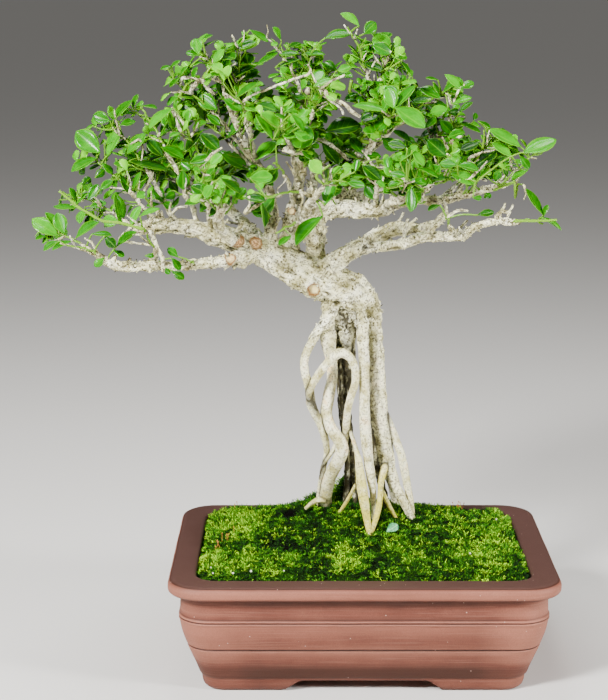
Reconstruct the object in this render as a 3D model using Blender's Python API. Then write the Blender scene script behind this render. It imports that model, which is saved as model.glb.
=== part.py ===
"""Premna bonsai on exposed roots, in a rectangular pot of unglazed clay.

Lengths are millimetres in the pot's own frame: the origin is on the ground under the middle of
the pot, X runs to the right, Y to the back and Z up. MM turns them into metres. Every piece is
parented to one empty, which sets the pot off the middle of the whole plant, because the crown
leans out to the left.
"""
import math
import random

import bmesh
import bpy
from mathutils import Quaternion, Vector
from mathutils.bvhtree import BVHTree

MM = 0.001
POT_FROM_MIDDLE = Vector((55.6, -4.2, 0.0))
CLEARANCE = 0.4
UP = Vector((0.0, 0.0, 1.0))

# Pot, measured over the rim
POT_LENGTH = 305.0
POT_DEPTH = 231.0
POT_HEIGHT = 93.0
RIM_CORNER = 28.0
CORNER_TIGHTENING = 0.45
CORNER_STEPS = 4
LONG_SIDE_STEPS = 5
SHORT_SIDE_STEPS = 3
FOOT_HEIGHT = 9.0
FLOOR_TOP = 18.0
FOOT_FACE_INSET = 29.5
FOOT_INNER_INSET = 47.0

# Profile of the pot as (inset from the rim's outer face, height), from inside the foot ring
# round the rim to the floor inside
POT_PROFILE = [
    (FOOT_INNER_INSET, FOOT_HEIGHT), (FOOT_INNER_INSET, 0.0), (FOOT_FACE_INSET, 0.0),
    (27.0, 1.5), (25.4, 5.0), (25.0, 11.2), (23.6, 12.6), (21.0, 20.0), (17.6, 29.0),
    (14.5, 37.6), (15.4, 38.5), (13.8, 39.4), (10.0, 50.0), (8.6, 59.6),
    (7.8, 61.0), (8.7, 62.3), (7.9, 63.4), (8.9, 64.8), (9.2, 78.0), (7.6, 81.6),
    (1.8, 82.8), (0.2, 85.0), (0.0, 90.0), (1.6, 92.3), (4.2, POT_HEIGHT),
    (20.0, POT_HEIGHT), (21.6, 92.4), (22.0, 90.6), (20.4, 80.0), (19.2, 60.0),
    (24.0, 38.0), (34.0, FLOOR_TOP),
]
POT_INSIDE = POT_PROFILE[-5:]

# Arches cut through the foot ring, which leave the four feet: half widths at the ground and
# at the top
FRONT_ARCH = (62.0, 50.0)
SIDE_ARCH = (40.0, 30.0)
ARCH_TOP = FOOT_HEIGHT + 0.5

# Drainage
DRAIN_RADIUS = 11.0
DRAIN_FROM_MIDDLE = 68.0
DRAIN_SIDES = 14
DRAIN_CUT_PAST = 2.0
SCREEN_SIZE = 40.0
SCREEN_THICKNESS = 1.2
SCREEN_HOLE = 9.0
SCREEN_PITCH = 12.0

# Soil and moss
WALL_LEVEL = 89.0
MOSS_THICKNESS = 5.0
SHOULDER_RISE = 8.0
SHOULDER_REACH = 8.0
MOUND_RISE = 23.0
MOUND_MIDDLE = (-5.0, 22.0)
MOUND_SPREAD = (62.0, 42.0)
ROOT_HOLES_BELOW = 150.0
ROOT_HOLE_WIDER = 0.6
GROUND_RINGS = (1.0, 0.93, 0.78, 0.54, 0.27)
MOSS_RELIEF = 1.3
MOSS_SEED = 7

# Roots and trunk: centre line as (x, y, z, radius), with the number of sides
ROOTS = {
    "right_trunk": (6, [
        (-10, 0, 304, 15), (3, 2, 295, 9.5), (10, 5, 278, 5.4), (12, 6, 256, 4.7),
        (13, 8, 228, 5.6), (15, 9, 199, 6.8), (19, 9, 174, 6.8), (25, 10, 148, 4.4),
        (32, 10, 129, 3.4), (41, 9, 112, 2.8), (50, 8, 92, 2.2)]),
    "front_root": (6, [
        (-4, 0, 296, 8), (-2, -5, 283, 5.2), (0, -8, 262, 4.6), (1, -9, 234, 3.8),
        (2, -9, 200, 4.2), (5, -9, 170, 4.6), (8, -8, 150, 3.8), (10, -7, 130, 2.8),
        (12, -6, 110, 2.2), (14, -5, 92, 1.8)]),
    "left_loop": (5, [
        (-24, -2, 294, 8), (-29, -6, 278, 5), (-38, -9, 264, 3.8), (-45, -10, 250, 3.4),
        (-46, -9, 234, 3.3), (-43, -6, 218, 3.8), (-38, -4, 203, 4), (-32, -3, 189, 3.5),
        (-29, -1, 175, 3.3), (-26, 5, 158, 2.6)]),
    "winding_root": (6, [
        (-20, 2, 292, 10), (-24, 3, 270, 6.5), (-27, 2, 252, 5.2), (-25, 0, 234, 4.5),
        (-26, -3, 213, 5.2), (-24, -4, 197, 5.6), (-17, -3, 181, 5.9), (-16, 3, 167, 5.2),
        (-22, 9, 152, 5), (-28, 17, 137, 4.5), (-28, 25, 121, 4.7), (-29, 32, 104, 3.6),
        (-32, 38, 90, 2.6)]),
    "winding_root_toe": (4, [
        (-27, 20, 131, 3.4), (-35, 18, 126, 2.3), (-42, 17, 122, 2), (-48, 14, 112, 1.7)]),
    "arch_root": (5, [
        (-43, -8, 218, 3.2), (-40, -12, 231, 3.5), (-34, -14, 243, 3.5),
        (-25, -15, 252, 3.6), (-15, -14, 255, 3.5), (-8, -13, 248, 3.4),
        (-4, -12, 236, 3.3), (-7, -11, 220, 3), (-11, -9, 203, 2.7), (-13, -4, 184, 2.4)]),
    "thin_link": (4, [
        (-20, -4, 181, 2.6), (-25, -6, 172, 2.1), (-32, -5, 163, 2), (-35, -1, 152, 2),
        (-35, 5, 138, 2), (-36, 10, 122, 1.8), (-37, 13, 106, 1.6)]),
    "back_root": (5, [
        (-12, 8, 296, 8), (-16, 15, 268, 5), (-16, 18, 236, 4), (-16, 19, 205, 3.4),
        (-12, 18, 178, 3.4), (-8, 22, 150, 3.2), (-5, 28, 122, 2.8), (-3, 34, 98, 2.3)]),
    "back_right_root": (5, [
        (4, 6, 272, 5), (8, 17, 240, 4.2), (12, 22, 205, 4), (20, 26, 170, 3.8),
        (26, 32, 138, 3.2), (31, 38, 104, 2.6)]),
    "right_root": (5, [
        (20, 10, 192, 5), (27, 12, 181, 3.4), (32, 13, 168, 3.1), (36, 14, 152, 3),
        (40, 15, 133, 2.5), (44, 15, 112, 2.1), (48, 16, 94, 1.8)]),
    "pale_front_root": (5, [
        (-10, -7, 197, 2.4), (-7, -10, 179, 3.5), (-3, -11, 165, 4.2),
        (-2, -14, 148, 3.7), (-1, -18, 133, 3.7), (3, -22, 117, 3.2), (6, -25, 98, 2.2)]),
    "crossing_root": (4, [
        (13, 3, 156, 2.9), (16, -4, 141, 2.3), (16, -11, 130, 2.3), (12, -19, 117, 2.3),
        (7, -27, 100, 2)]),
    "right_rootlet": (4, [
        (17, -3, 142, 2.2), (22, -5, 129, 1.8), (28, -10, 115, 1.6), (33, -14, 100, 1.4)]),
    "left_rootlet": (4, [
        (-5, -9, 149, 2.2), (-10, -9, 135, 1.7), (-18, -11, 120, 1.5), (-24, -13, 104, 1.4)]),
}
LIMBS = {
    "main_limb": (8, [
        (2, 2, 290, 12), (-6, 1, 299, 14.5), (-18, 0, 305, 15.5), (-33, 0, 310, 15),
        (-48, 0, 317, 13.5), (-61, 0, 324, 12), (-75, 0, 331, 10.5), (-88, -3, 338, 9)]),
    "left_high": (6, [
        (-80, -1, 333, 9.5), (-92, -4, 340, 9.5), (-106, -8, 346, 8.8), (-121, -12, 351, 7.6),
        (-136, -16, 356, 6), (-153, -20, 358, 5.6), (-168, -24, 357, 5.4),
        (-180, -26, 357, 3.6)]),
    "left_low": (5, [
        (-84, -4, 335, 7), (-100, -18, 331, 5), (-118, -28, 330, 4.2), (-143, -38, 329, 3.6),
        (-165, -46, 330, 3.4), (-188, -52, 331, 3.6), (-202, -56, 337, 2.6)]),
    "leader": (6, [
        (-28, 3, 312, 9), (-36, 6, 325, 7.8), (-37, 9, 340, 7), (-36, 12, 357, 6.2),
        (-32, 14, 371, 6)]),
    "right_low": (6, [
        (-34, -2, 316, 9), (-23, -8, 327, 7.4), (-12, -13, 335, 6.4), (0, -18, 342, 6),
        (13, -22, 351, 5.2), (25, -26, 356, 4.7), (39, -30, 357, 4.1), (52, -34, 359, 3.6),
        (64, -38, 370, 2.8)]),
    "right_front": (5, [
        (1, -19, 342, 5), (15, -30, 343, 3.9), (31, -40, 347, 3.8), (45, -48, 353, 4),
        (60, -54, 354, 3.4), (73, -58, 355, 3.4), (85, -60, 363, 2.8), (100, -62, 367, 2.4),
        (111, -64, 366, 2)]),
    "right_mid": (6, [
        (-33, 13, 364, 6.6), (-17, 10, 368, 7), (-1, 6, 367, 6.4), (15, 2, 368, 5.4),
        (28, -2, 373, 4), (41, -6, 376, 3.4), (60, -12, 377, 3.1), (75, -18, 381, 2.9),
        (93, -24, 386, 2.6), (108, -28, 390, 2.1)]),
    "rising_left": (5, [
        (-69, 4, 327, 7.5), (-74, 12, 345, 5.2), (-72, 18, 361, 4.2), (-74, 24, 378, 3.6),
        (-84, 24, 400, 3), (-96, 18, 424, 2.6), (-106, 10, 450, 2.2)]),
    "rising_middle": (5, [
        (-58, 6, 324, 8), (-58, 18, 345, 6.4), (-56, 26, 361, 5.4), (-52, 28, 380, 4.4),
        (-48, 20, 404, 3.6), (-47, 8, 430, 3), (-44, 0, 458, 2.2)]),
    "rising_right": (5, [
        (-22, 11, 368, 5.6), (-8, 12, 386, 4), (2, 9, 406, 3.4), (8, 3, 430, 2.8),
        (8, 0, 458, 2.2)]),
    "back_left": (5, [
        (-76, 4, 333, 6.5), (-88, 26, 346, 4.8), (-102, 52, 356, 4), (-122, 78, 367, 3.2),
        (-140, 98, 378, 2.4)]),
    "back_middle": (5, [
        (-38, 11, 350, 6), (-42, 36, 364, 4.6), (-40, 64, 377, 3.8), (-38, 92, 388, 3),
        (-40, 112, 397, 2.2)]),
    "back_right": (5, [
        (-24, 12, 367, 5.5), (-4, 32, 373, 4.4), (18, 54, 380, 3.6), (44, 76, 387, 3),
        (64, 90, 392, 2.2)]),
    "front_left": (5, [
        (-96, -6, 342, 6), (-108, -30, 354, 4.2), (-112, -56, 366, 3.4), (-108, -82, 380, 2.6)]),
    "front_middle": (5, [
        (-37, 4, 334, 6), (-42, -20, 350, 4.4), (-46, -46, 366, 3.6), (-42, -74, 382, 2.8),
        (-36, -94, 392, 2.2)]),
    "front_right": (5, [
        (16, 0, 368, 4.8), (26, -24, 378, 3.8), (36, -50, 388, 3.2), (46, -78, 394, 2.4)]),
}

# Twigs with a leafy shoot on each: its pairs of leaves, the limb, how far along that it
# starts (0 to 1), and the furthest point that its leaves reach
SHOOTS = [
    (3, "left_high", 1.0, (-240, -22, 385)),
    (3, "left_low", 1.0, (-262, -32, 359)),
    (3, "left_low", 0.92, (-236, -74, 350)),
    (3, "left_high", 0.80, (-226, 4, 414)),
    (3, "left_high", 0.66, (-206, 2, 440)),
    (3, "left_high", 0.50, (-184, 8, 456)),
    (2, "left_high", 0.72, (-192, -48, 398)),
    (3, "left_low", 0.62, (-178, -84, 368)),
    (2, "left_low", 0.45, (-146, -80, 312)),
    (3, "back_left", 0.75, (-206, 56, 396)),
    (3, "rising_left", 0.62, (-156, 8, 478)),
    (3, "rising_left", 1.0, (-128, -4, 500)),
    (2, "left_high", 0.32, (-144, -44, 446)),
    (2, "rising_left", 0.55, (-150, 54, 450)),
    (3, "rising_left", 0.92, (-98, 4, 511)),
    (3, "rising_middle", 0.95, (-70, -12, 509)),
    (3, "rising_left", 0.72, (-104, 54, 482)),
    (2, "rising_left", 0.68, (-100, -56, 470)),
    (3, "rising_middle", 1.0, (-42, 6, 501)),
    (3, "rising_right", 1.0, (-11, 2, 522)),
    (3, "rising_right", 0.95, (26, 4, 507)),
    (3, "rising_middle", 0.72, (-30, -58, 476)),
    (2, "rising_middle", 0.80, (-26, 58, 484)),
    (3, "rising_middle", 0.52, (-66, -84, 448)),
    (2, "rising_middle", 0.60, (-68, 88, 452)),
    (3, "rising_right", 0.75, (42, 0, 482)),
    (3, "rising_right", 0.52, (76, -6, 472)),
    (3, "rising_right", 0.62, (28, -58, 456)),
    (2, "rising_right", 0.56, (32, 62, 456)),
    (3, "right_mid", 0.58, (74, -56, 432)),
    (2, "back_right", 0.72, (82, 44, 440)),
    (3, "right_mid", 0.76, (112, -12, 434)),
    (3, "right_mid", 1.0, (150, -20, 424)),
    (2, "right_front", 1.0, (147, -52, 365)),
    (3, "right_mid", 0.90, (132, -46, 396)),
    (3, "right_mid", 0.66, (124, 30, 404)),
    (2, "front_right", 0.70, (92, -84, 404)),
    (2, "back_right", 0.90, (96, 88, 404)),
    (2, "front_left", 0.95, (-126, -104, 400)),
    (2, "front_middle", 0.88, (-76, -130, 396)),
    (2, "front_middle", 1.0, (-20, -130, 410)),
    (2, "front_right", 0.95, (30, -120, 406)),
    (3, "right_front", 0.55, (66, -110, 378)),
    (2, "front_middle", 0.45, (-70, -82, 362)),
    (2, "back_left", 0.95, (-170, 100, 402)),
    (2, "back_left", 0.68, (-116, 118, 396)),
    (2, "back_middle", 1.0, (-60, 135, 404)),
    (3, "back_middle", 0.80, (-2, 124, 408)),
    (2, "back_right", 0.98, (52, 118, 404)),
    (3, "rising_middle", 0.40, (-72, -58, 420)),
    (3, "right_mid", 0.30, (14, -74, 424)),
    (3, "left_high", 0.42, (-130, -84, 416)),
]
TWIG_BASE_RADIUS = 2.3
TWIG_END_RADIUS = 1.3
TWIG_RISE = 0.16
TWIG_POINTS = 2
TWIG_SIDES = 3
TWIG_SHORTEST = 0.3
SHOOT_LENGTH = 44.0
SHOOT_RADIUS = 1.1
SHOOT_TAPER = 0.2
SHOOT_SEED = 100
LEAF_REACH = 12.0

# Leaves: an obovate blade, given as (part of the length, part of the width) down one side
BLADE_SIDE = [(0.24, 0.27), (0.60, 0.50), (0.88, 0.34)]
BLADE_TRIANGLES = [(0, 1, 2), (0, 2, 4), (2, 3, 4), (0, 4, 8), (8, 4, 6), (4, 5, 6), (8, 6, 7)]
LEAF_LENGTH = (17.0, 25.0)
LEAF_WIDTH = (0.56, 0.70)
LEAF_THICKNESS = 0.7
LEAF_FOLD = (-10.0, 16.0)
LEAF_LEAN = (0.4, 0.9)
LEAF_LIFT = (-0.15, 0.25)
FACE_ALONG = 0.6
FACE_UP = 0.5
FACE_OUT = (0.5, 1.2)
FACE_LOOSE = 0.3
SMALLER_EACH_TRY = 0.03
LEAF_TRIES = 24
LEAF_MARGIN = 0.5
SHELL_START = 2.0
JOINT_HEIGHT = 1.0
PAIR_SPACING = 0.30
TIP_PAIR_SIZE = 0.88
CROWN_MIDDLE = Vector((-50.0, 0.0, 330.0))

# The shed leaf on the moss: where its foot lies, the way it points, its length and width
FALLEN_LEAF_FOOT = Vector((21.0, -22.0, 0.0))
FALLEN_LEAF_POINTS = Vector((0.92, -0.39, 0.0))
FALLEN_LEAF_LENGTH = 12.0
FALLEN_LEAF_WIDTH = 7.4
FALLEN_LEAF_MARGIN = 1.0
ABOVE_THE_GROUND = 200.0


def material(name, colour, roughness):
    """Gives a plain non-metallic finish."""
    finish = bpy.data.materials.new(name)
    finish.use_nodes = True
    shader = finish.node_tree.nodes["Principled BSDF"]
    shader.inputs["Base Color"].default_value = (*colour, 1.0)
    shader.inputs["Roughness"].default_value = roughness
    return finish


def lofted(name, rings, finish, start=None, end=None, split=False):
    """Makes a closed solid through rings of points, with flat ends or pointed ones.

    With split, each four-sided face is parted along the same diagonal, so that two solids
    through the same points lie parallel.
    """
    mesh_maker = bmesh.new()
    loops = [[mesh_maker.verts.new(point * MM) for point in ring] for ring in rings]
    count = len(loops[0])
    for lower, upper in zip(loops, loops[1:]):
        for i in range(count):
            j = (i + 1) % count
            if split:
                mesh_maker.faces.new((lower[i], lower[j], upper[j]))
                mesh_maker.faces.new((lower[i], upper[j], upper[i]))
            else:
                mesh_maker.faces.new((lower[i], lower[j], upper[j], upper[i]))
    for loop, point in ((loops[0], start), (loops[-1], end)):
        if point is None:
            mesh_maker.faces.new(loop)
            continue
        tip = mesh_maker.verts.new(point * MM)
        for i in range(count):
            mesh_maker.faces.new((loop[i], loop[(i + 1) % count], tip))
    return finished(name, mesh_maker, finish)


def finished(name, mesh_maker, finish):
    """Turns a mesh into a named object with its faces pointing out."""
    bmesh.ops.recalc_face_normals(mesh_maker, faces=mesh_maker.faces)
    mesh = bpy.data.meshes.new(name)
    mesh_maker.to_mesh(mesh)
    mesh_maker.free()
    piece = bpy.data.objects.new(name, mesh)
    bpy.context.scene.collection.objects.link(piece)
    if finish:
        mesh.materials.append(finish)
    return piece


def pot_ring(inset, height, long_steps=1, short_steps=1):
    """Gives the pot's rounded rectangle at one inset and height, from the front right corner."""
    half_x = POT_LENGTH / 2 - inset
    half_y = POT_DEPTH / 2 - inset
    radius = RIM_CORNER - CORNER_TIGHTENING * inset
    points = []
    corners = ((1, -1, -90, short_steps), (1, 1, 0, long_steps),
               (-1, 1, 90, short_steps), (-1, -1, 180, long_steps))
    for side_x, side_y, start, _ in corners:
        for step in range(CORNER_STEPS + 1):
            angle = math.radians(start + 90 * step / CORNER_STEPS)
            points.append(Vector((
                side_x * (half_x - radius) + radius * math.cos(angle),
                side_y * (half_y - radius) + radius * math.sin(angle), height)))
    outline = []
    for corner, (_, _, _, steps) in enumerate(corners):
        last = (corner + 1) * (CORNER_STEPS + 1) - 1
        outline += points[last - CORNER_STEPS:last + 1]
        after = points[(last + 1) % len(points)]
        outline += [points[last].lerp(after, k / steps) for k in range(1, steps)]
    return outline


def cut(piece, cutters):
    """Takes the cutters out of a piece."""
    combine(piece, cutters, "DIFFERENCE", "EXACT")


def combine(piece, others, operation, solver):
    """Applies one Boolean with a collection of objects, and removes them."""
    group = bpy.data.collections.new("operands")
    bpy.context.scene.collection.children.link(group)
    for other in others:
        bpy.context.scene.collection.objects.unlink(other)
        group.objects.link(other)
    boolean = piece.modifiers.new("Boolean", "BOOLEAN")
    boolean.operation = operation
    boolean.operand_type = "COLLECTION"
    boolean.collection = group
    boolean.solver = solver
    view = bpy.context.evaluated_depsgraph_get()
    mesh = bpy.data.meshes.new_from_object(piece.evaluated_get(view))
    piece.modifiers.clear()
    piece.data = mesh
    mesh.name = piece.name
    for other in others:
        bpy.data.objects.remove(other)
    bpy.data.collections.remove(group)


def keep_outer_shell(piece):
    """Fills what fusing sealed and drops loose scraps, by keeping the biggest shell."""
    mesh_maker = bmesh.new()
    mesh_maker.from_mesh(piece.data)
    left = set(mesh_maker.faces)
    shells = []
    while left:
        shell = [left.pop()]
        for face in shell:
            for edge in face.edges:
                for neighbour in edge.link_faces:
                    if neighbour in left:
                        left.remove(neighbour)
                        shell.append(neighbour)
        shells.append(shell)
    shells.sort(key=len)
    for shell in shells[:-1]:
        bmesh.ops.delete(mesh_maker, geom=shell, context="FACES")
    loose = [vert for vert in mesh_maker.verts if not vert.link_faces]
    bmesh.ops.delete(mesh_maker, geom=loose, context="VERTS")
    mesh_maker.to_mesh(piece.data)
    mesh_maker.free()


def box(name, size, middle):
    """Makes a plain cutter."""
    mesh_maker = bmesh.new()
    bmesh.ops.create_cube(mesh_maker, size=1.0)
    bmesh.ops.scale(mesh_maker, vec=Vector(size) * MM, verts=mesh_maker.verts)
    bmesh.ops.translate(mesh_maker, vec=Vector(middle) * MM, verts=mesh_maker.verts)
    return finished(name, mesh_maker, None)


def make_pot(clay):
    """Makes the pot: one turned-over profile, with arches through its foot and two drains."""
    pot = lofted("pot", [pot_ring(inset, height) for inset, height in POT_PROFILE], clay)
    cutters = []
    for name, (ground, top), across, along, reach in (
            ("front_arch", FRONT_ARCH, Vector((1, 0, 0)), Vector((0, 1, 0)), POT_DEPTH / 2),
            ("side_arch", SIDE_ARCH, Vector((0, 1, 0)), Vector((1, 0, 0)), POT_LENGTH / 2)):
        arch = [across * -ground - UP, across * ground - UP,
                across * top + UP * ARCH_TOP, across * -top + UP * ARCH_TOP]
        ends = [[point + along * reach * side for point in arch] for side in (-1, 1)]
        cutters.append(lofted(name, ends, None))
    for side in (-1, 1):
        middle = Vector((side * DRAIN_FROM_MIDDLE, 0, 0))
        rings = []
        for height in (FOOT_HEIGHT - DRAIN_CUT_PAST, FLOOR_TOP + DRAIN_CUT_PAST):
            rings.append([
                middle + UP * height + Quaternion(UP, math.tau * i / DRAIN_SIDES)
                @ Vector((DRAIN_RADIUS, 0, 0)) for i in range(DRAIN_SIDES)])
        cutters.append(lofted("drain", rings, None))
    cut(pot, cutters)
    return pot


def make_screens(plastic):
    """Makes the two mesh plates that keep the soil in over the drains."""
    for name, side in (("left", -1), ("right", 1)):
        middle = Vector((side * DRAIN_FROM_MIDDLE, 0, screen_middle()))
        screen = box("drainage_screen_" + name,
                     (SCREEN_SIZE, SCREEN_SIZE, SCREEN_THICKNESS), middle)
        screen.data.materials.append(plastic)
        holes = []
        for row in (-1, 0, 1):
            for column in (-1, 0, 1):
                place = middle + Vector((row * SCREEN_PITCH, column * SCREEN_PITCH, 0))
                holes.append(box("hole", (SCREEN_HOLE, SCREEN_HOLE, 2 * SCREEN_THICKNESS), place))
        cut(screen, holes)


def screen_middle():
    """Gives the height of a screen's middle."""
    return FLOOR_TOP + CLEARANCE + SCREEN_THICKNESS / 2


def moss_level(point):
    """Gives the height of the moss over a point: a low shoulder at the wall and a mound."""
    half_x = POT_LENGTH / 2 - POT_INSIDE[0][0]
    half_y = POT_DEPTH / 2 - POT_INSIDE[0][0]
    from_wall = max(0.0, min(half_x - abs(point.x), half_y - abs(point.y)))
    shoulder = SHOULDER_RISE * (1 - math.exp(-from_wall / SHOULDER_REACH))
    away_x = (point.x - MOUND_MIDDLE[0]) / MOUND_SPREAD[0]
    away_y = (point.y - MOUND_MIDDLE[1]) / MOUND_SPREAD[1]
    edge = min(1.0, from_wall / SHOULDER_REACH)
    return WALL_LEVEL + shoulder + edge * MOUND_RISE * math.exp(-(away_x ** 2 + away_y ** 2) / 2)


def ground_rings(drop, inset, relief=None):
    """Gives the rings of the ground's surface, lowered by drop, from the wall to the middle.

    They follow the pot at the wall and grow round toward the middle of the mound.
    """
    rim = pot_ring(inset, 0.0, LONG_SIDE_STEPS, SHORT_SIDE_STEPS)
    reach_x = max(point.x for point in rim)
    reach_y = max(point.y for point in rim)
    rings = []
    for scale in GROUND_RINGS:
        ring = []
        for point in rim:
            angle = math.atan2(point.y / reach_y, point.x / reach_x)
            round_point = Vector((reach_x * math.cos(angle), reach_y * math.sin(angle), 0))
            place = point.lerp(round_point, 1 - scale) * scale
            place.z = moss_level(place) - drop
            if relief and scale < 1.0:
                place.z += relief.uniform(-MOSS_RELIEF, MOSS_RELIEF)
            ring.append(place)
        rings.append(ring)
    middle = Vector((0, 0, 0))
    middle.z = moss_level(middle) - drop
    return rings, middle


def make_ground(earth, green):
    """Makes the soil that fills the pot and the sheet of moss that covers it."""
    inset = POT_INSIDE[0][0] + CLEARANCE
    walls = [pot_ring(side + CLEARANCE, height + CLEARANCE * (height == FLOOR_TOP),
                      LONG_SIDE_STEPS, SHORT_SIDE_STEPS)
             for side, height in reversed(POT_INSIDE[1:])]
    top, middle = ground_rings(MOSS_THICKNESS + CLEARANCE, inset)
    soil = lofted("soil", walls + top, earth, end=middle, split=True)
    beds = [box("bed", (SCREEN_SIZE + 2 * CLEARANCE, SCREEN_SIZE + 2 * CLEARANCE,
                        2 * (SCREEN_THICKNESS + 2 * CLEARANCE)),
                (side * DRAIN_FROM_MIDDLE, 0, FLOOR_TOP + CLEARANCE)) for side in (-1, 1)]
    cut(soil, beds)
    below, below_middle = ground_rings(MOSS_THICKNESS, inset)
    above, above_middle = ground_rings(0.0, inset, random.Random(MOSS_SEED))
    moss = lofted("moss", above[::-1] + below, green, start=above_middle, end=below_middle,
                  split=True)
    return soil, moss


def tube_rings(route, radii, sides):
    """Gives rings round a route, turned as little as possible from one to the next."""
    rings = []
    side = None
    for i, place in enumerate(route):
        along = (route[min(i + 1, len(route) - 1)] - route[max(i - 1, 0)]).normalized()
        side = side or along.orthogonal()
        side = (side - along * side.dot(along)).normalized()
        rings.append([place + Quaternion(along, math.tau * k / sides) @ side * radii[i]
                      for k in range(sides)])
    return rings


def limb_tube(name, sides, stations, finish, extra=0.0):
    """Makes one root or limb as a tube through its stations, thicker by extra."""
    route = [Vector(station[:3]) for station in stations]
    radii = [station[3] + extra for station in stations]
    if extra:
        route[-1] = route[-1] + (route[-1] - route[-2]).normalized() * extra
    return lofted(name, tube_rings(route, radii, sides), finish)


def limb_place(limb, along):
    """Gives the point at a part of a limb's stations, and the limb's radius there."""
    stations = LIMBS[limb][1]
    position = along * (len(stations) - 1)
    first = min(int(position), len(stations) - 2)
    share = position - first
    start = Vector(stations[first][:3])
    end = Vector(stations[first + 1][:3])
    radius = stations[first][3] * (1 - share) + stations[first + 1][3] * share
    return start.lerp(end, share), radius


def twig_route(limb, along, tip):
    """Gives the bowed route from a limb to a shoot's tip, and where wood turns to green."""
    start, radius = limb_place(limb, along)
    tip = Vector(tip)
    tip -= (tip - CROWN_MIDDLE).normalized() * LEAF_REACH
    bend = (start + tip) / 2 + UP * TWIG_RISE * (tip - start).length
    turn = max(TWIG_SHORTEST, 1 - SHOOT_LENGTH / (tip - start).length)

    def place(share):
        return start.lerp(bend, share).lerp(bend.lerp(tip, share), share)
    return place, turn, radius


def make_wood(bark):
    """Makes the roots, limbs and twigs as one grown piece."""
    parts = []
    for name, (sides, stations) in (ROOTS | LIMBS).items():
        parts.append(limb_tube(name, sides, stations, bark))
    for _, limb, along, tip in SHOOTS:
        place, turn, radius = twig_route(limb, along, tip)
        route = [place(turn * k / TWIG_POINTS) for k in range(TWIG_POINTS + 1)]
        thick = min(TWIG_BASE_RADIUS, radius)
        radii = [thick + (TWIG_END_RADIUS - thick) * k / TWIG_POINTS
                 for k in range(TWIG_POINTS + 1)]
        parts.append(lofted("twig", tube_rings(route, radii, TWIG_SIDES), bark))
    wood = parts.pop(0)
    wood.name = "trunk_roots_and_branches"
    combine(wood, parts, "UNION", "MANIFOLD")
    keep_outer_shell(wood)
    return wood


def cut_root_holes(soil, moss):
    """Cuts the plain holes that the roots stand in."""
    for piece in (soil, moss):
        holes = []
        for name, (sides, stations) in ROOTS.items():
            low = [k for k, station in enumerate(stations) if station[2] < ROOT_HOLES_BELOW]
            if low:
                stations = stations[max(low[0] - 1, 0):]
                holes.append(limb_tube(name + "_hole", sides, stations, None,
                                       extra=ROOT_HOLE_WIDER))
        first = holes.pop(0)
        combine(first, holes, "UNION", "MANIFOLD")
        combine(piece, [first], "DIFFERENCE", "MANIFOLD")
        keep_outer_shell(piece)


def outline_of(root, leaf, margin=0.0):
    """Gives the points round one leaf from its foot: out along one side and back the other."""
    direction, face, length, width, fold = leaf
    side = direction.cross(face).normalized()
    lift = face * math.tan(math.radians(fold))
    points = []
    for share, half in BLADE_SIDE:
        reach = width * half + margin
        points.append(root + direction * length * share + (side + lift) * reach)
    points.append(root + direction * (length + margin))
    for share, half in reversed(BLADE_SIDE):
        reach = width * half + margin
        points.append(root + direction * length * share + (lift - side) * reach)
    return points


def blade_points(root, leaf):
    """Gives the points of a leaf's upper face and of its lower face, past its foot."""
    outline = outline_of(root, leaf)
    rise = leaf[1] * LEAF_THICKNESS / 2
    return [point + rise for point in outline], [point - rise for point in outline]


def add_blade(mesh_maker, feet, root, leaf):
    """Adds a leaf that grows out of four corners: near and far above, near and far below."""
    upper, lower = blade_points(root, leaf)
    above = [feet[0]] + [mesh_maker.verts.new(point * MM) for point in upper] + [feet[1]]
    below = [feet[2]] + [mesh_maker.verts.new(point * MM) for point in lower] + [feet[3]]
    for triangle in BLADE_TRIANGLES:
        mesh_maker.faces.new([above[k] for k in triangle])
        mesh_maker.faces.new([below[k] for k in reversed(triangle)])
    for i in range(len(above) - 1):
        mesh_maker.faces.new((above[i], below[i], below[i + 1]))
        mesh_maker.faces.new((above[i], below[i + 1], above[i + 1]))


def clearance_shell(spot, leaf):
    """Gives a thicker, wider leaf that starts off the stem, to test for room round it."""
    outline = [spot + leaf[0] * SHELL_START] + outline_of(spot, leaf, LEAF_MARGIN)
    rise = leaf[1] * (LEAF_THICKNESS / 2 + LEAF_MARGIN)
    points = [point + rise for point in outline] + [point - rise for point in outline]
    count = len(outline)
    shell = [tuple(range(count)), tuple(range(count, 2 * count))]
    for i in range(count):
        j = (i + 1) % count
        shell.append((i, j, j + count, i + count))
    return points, shell


class Surroundings:
    """Keeps the surfaces made so far, to test whether a new piece would touch them."""

    def __init__(self):
        self.points = []
        self.faces = []
        self.tree = None

    def add(self, points, faces):
        start = len(self.points)
        self.points += points
        self.faces += [tuple(k + start for k in face) for face in faces]

    def add_piece(self, piece):
        self.add([vert.co / MM for vert in piece.data.vertices],
                 [tuple(polygon.vertices) for polygon in piece.data.polygons])

    def settle(self):
        self.tree = BVHTree.FromPolygons(self.points, self.faces)

    def touches(self, points, faces):
        if not self.tree:
            return False
        return bool(self.tree.overlap(BVHTree.FromPolygons(points, faces)))


def draw_leaf(draw, spot, across, along, size):
    """Draws one leaf: the way it points, the way it faces, its size and its fold."""
    outward = (spot - CROWN_MIDDLE).normalized()
    direction = across + along * draw.uniform(*LEAF_LEAN) + UP * draw.uniform(*LEAF_LIFT)
    direction.normalize()
    face = along * FACE_ALONG + UP * FACE_UP + outward * draw.uniform(*FACE_OUT)
    face += Vector([draw.uniform(-FACE_LOOSE, FACE_LOOSE) for _ in range(3)])
    face = (face - direction * face.dot(direction)).normalized()
    length = draw.uniform(*LEAF_LENGTH) * size
    return direction, face, length, length * draw.uniform(*LEAF_WIDTH), draw.uniform(*LEAF_FOLD)


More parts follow.
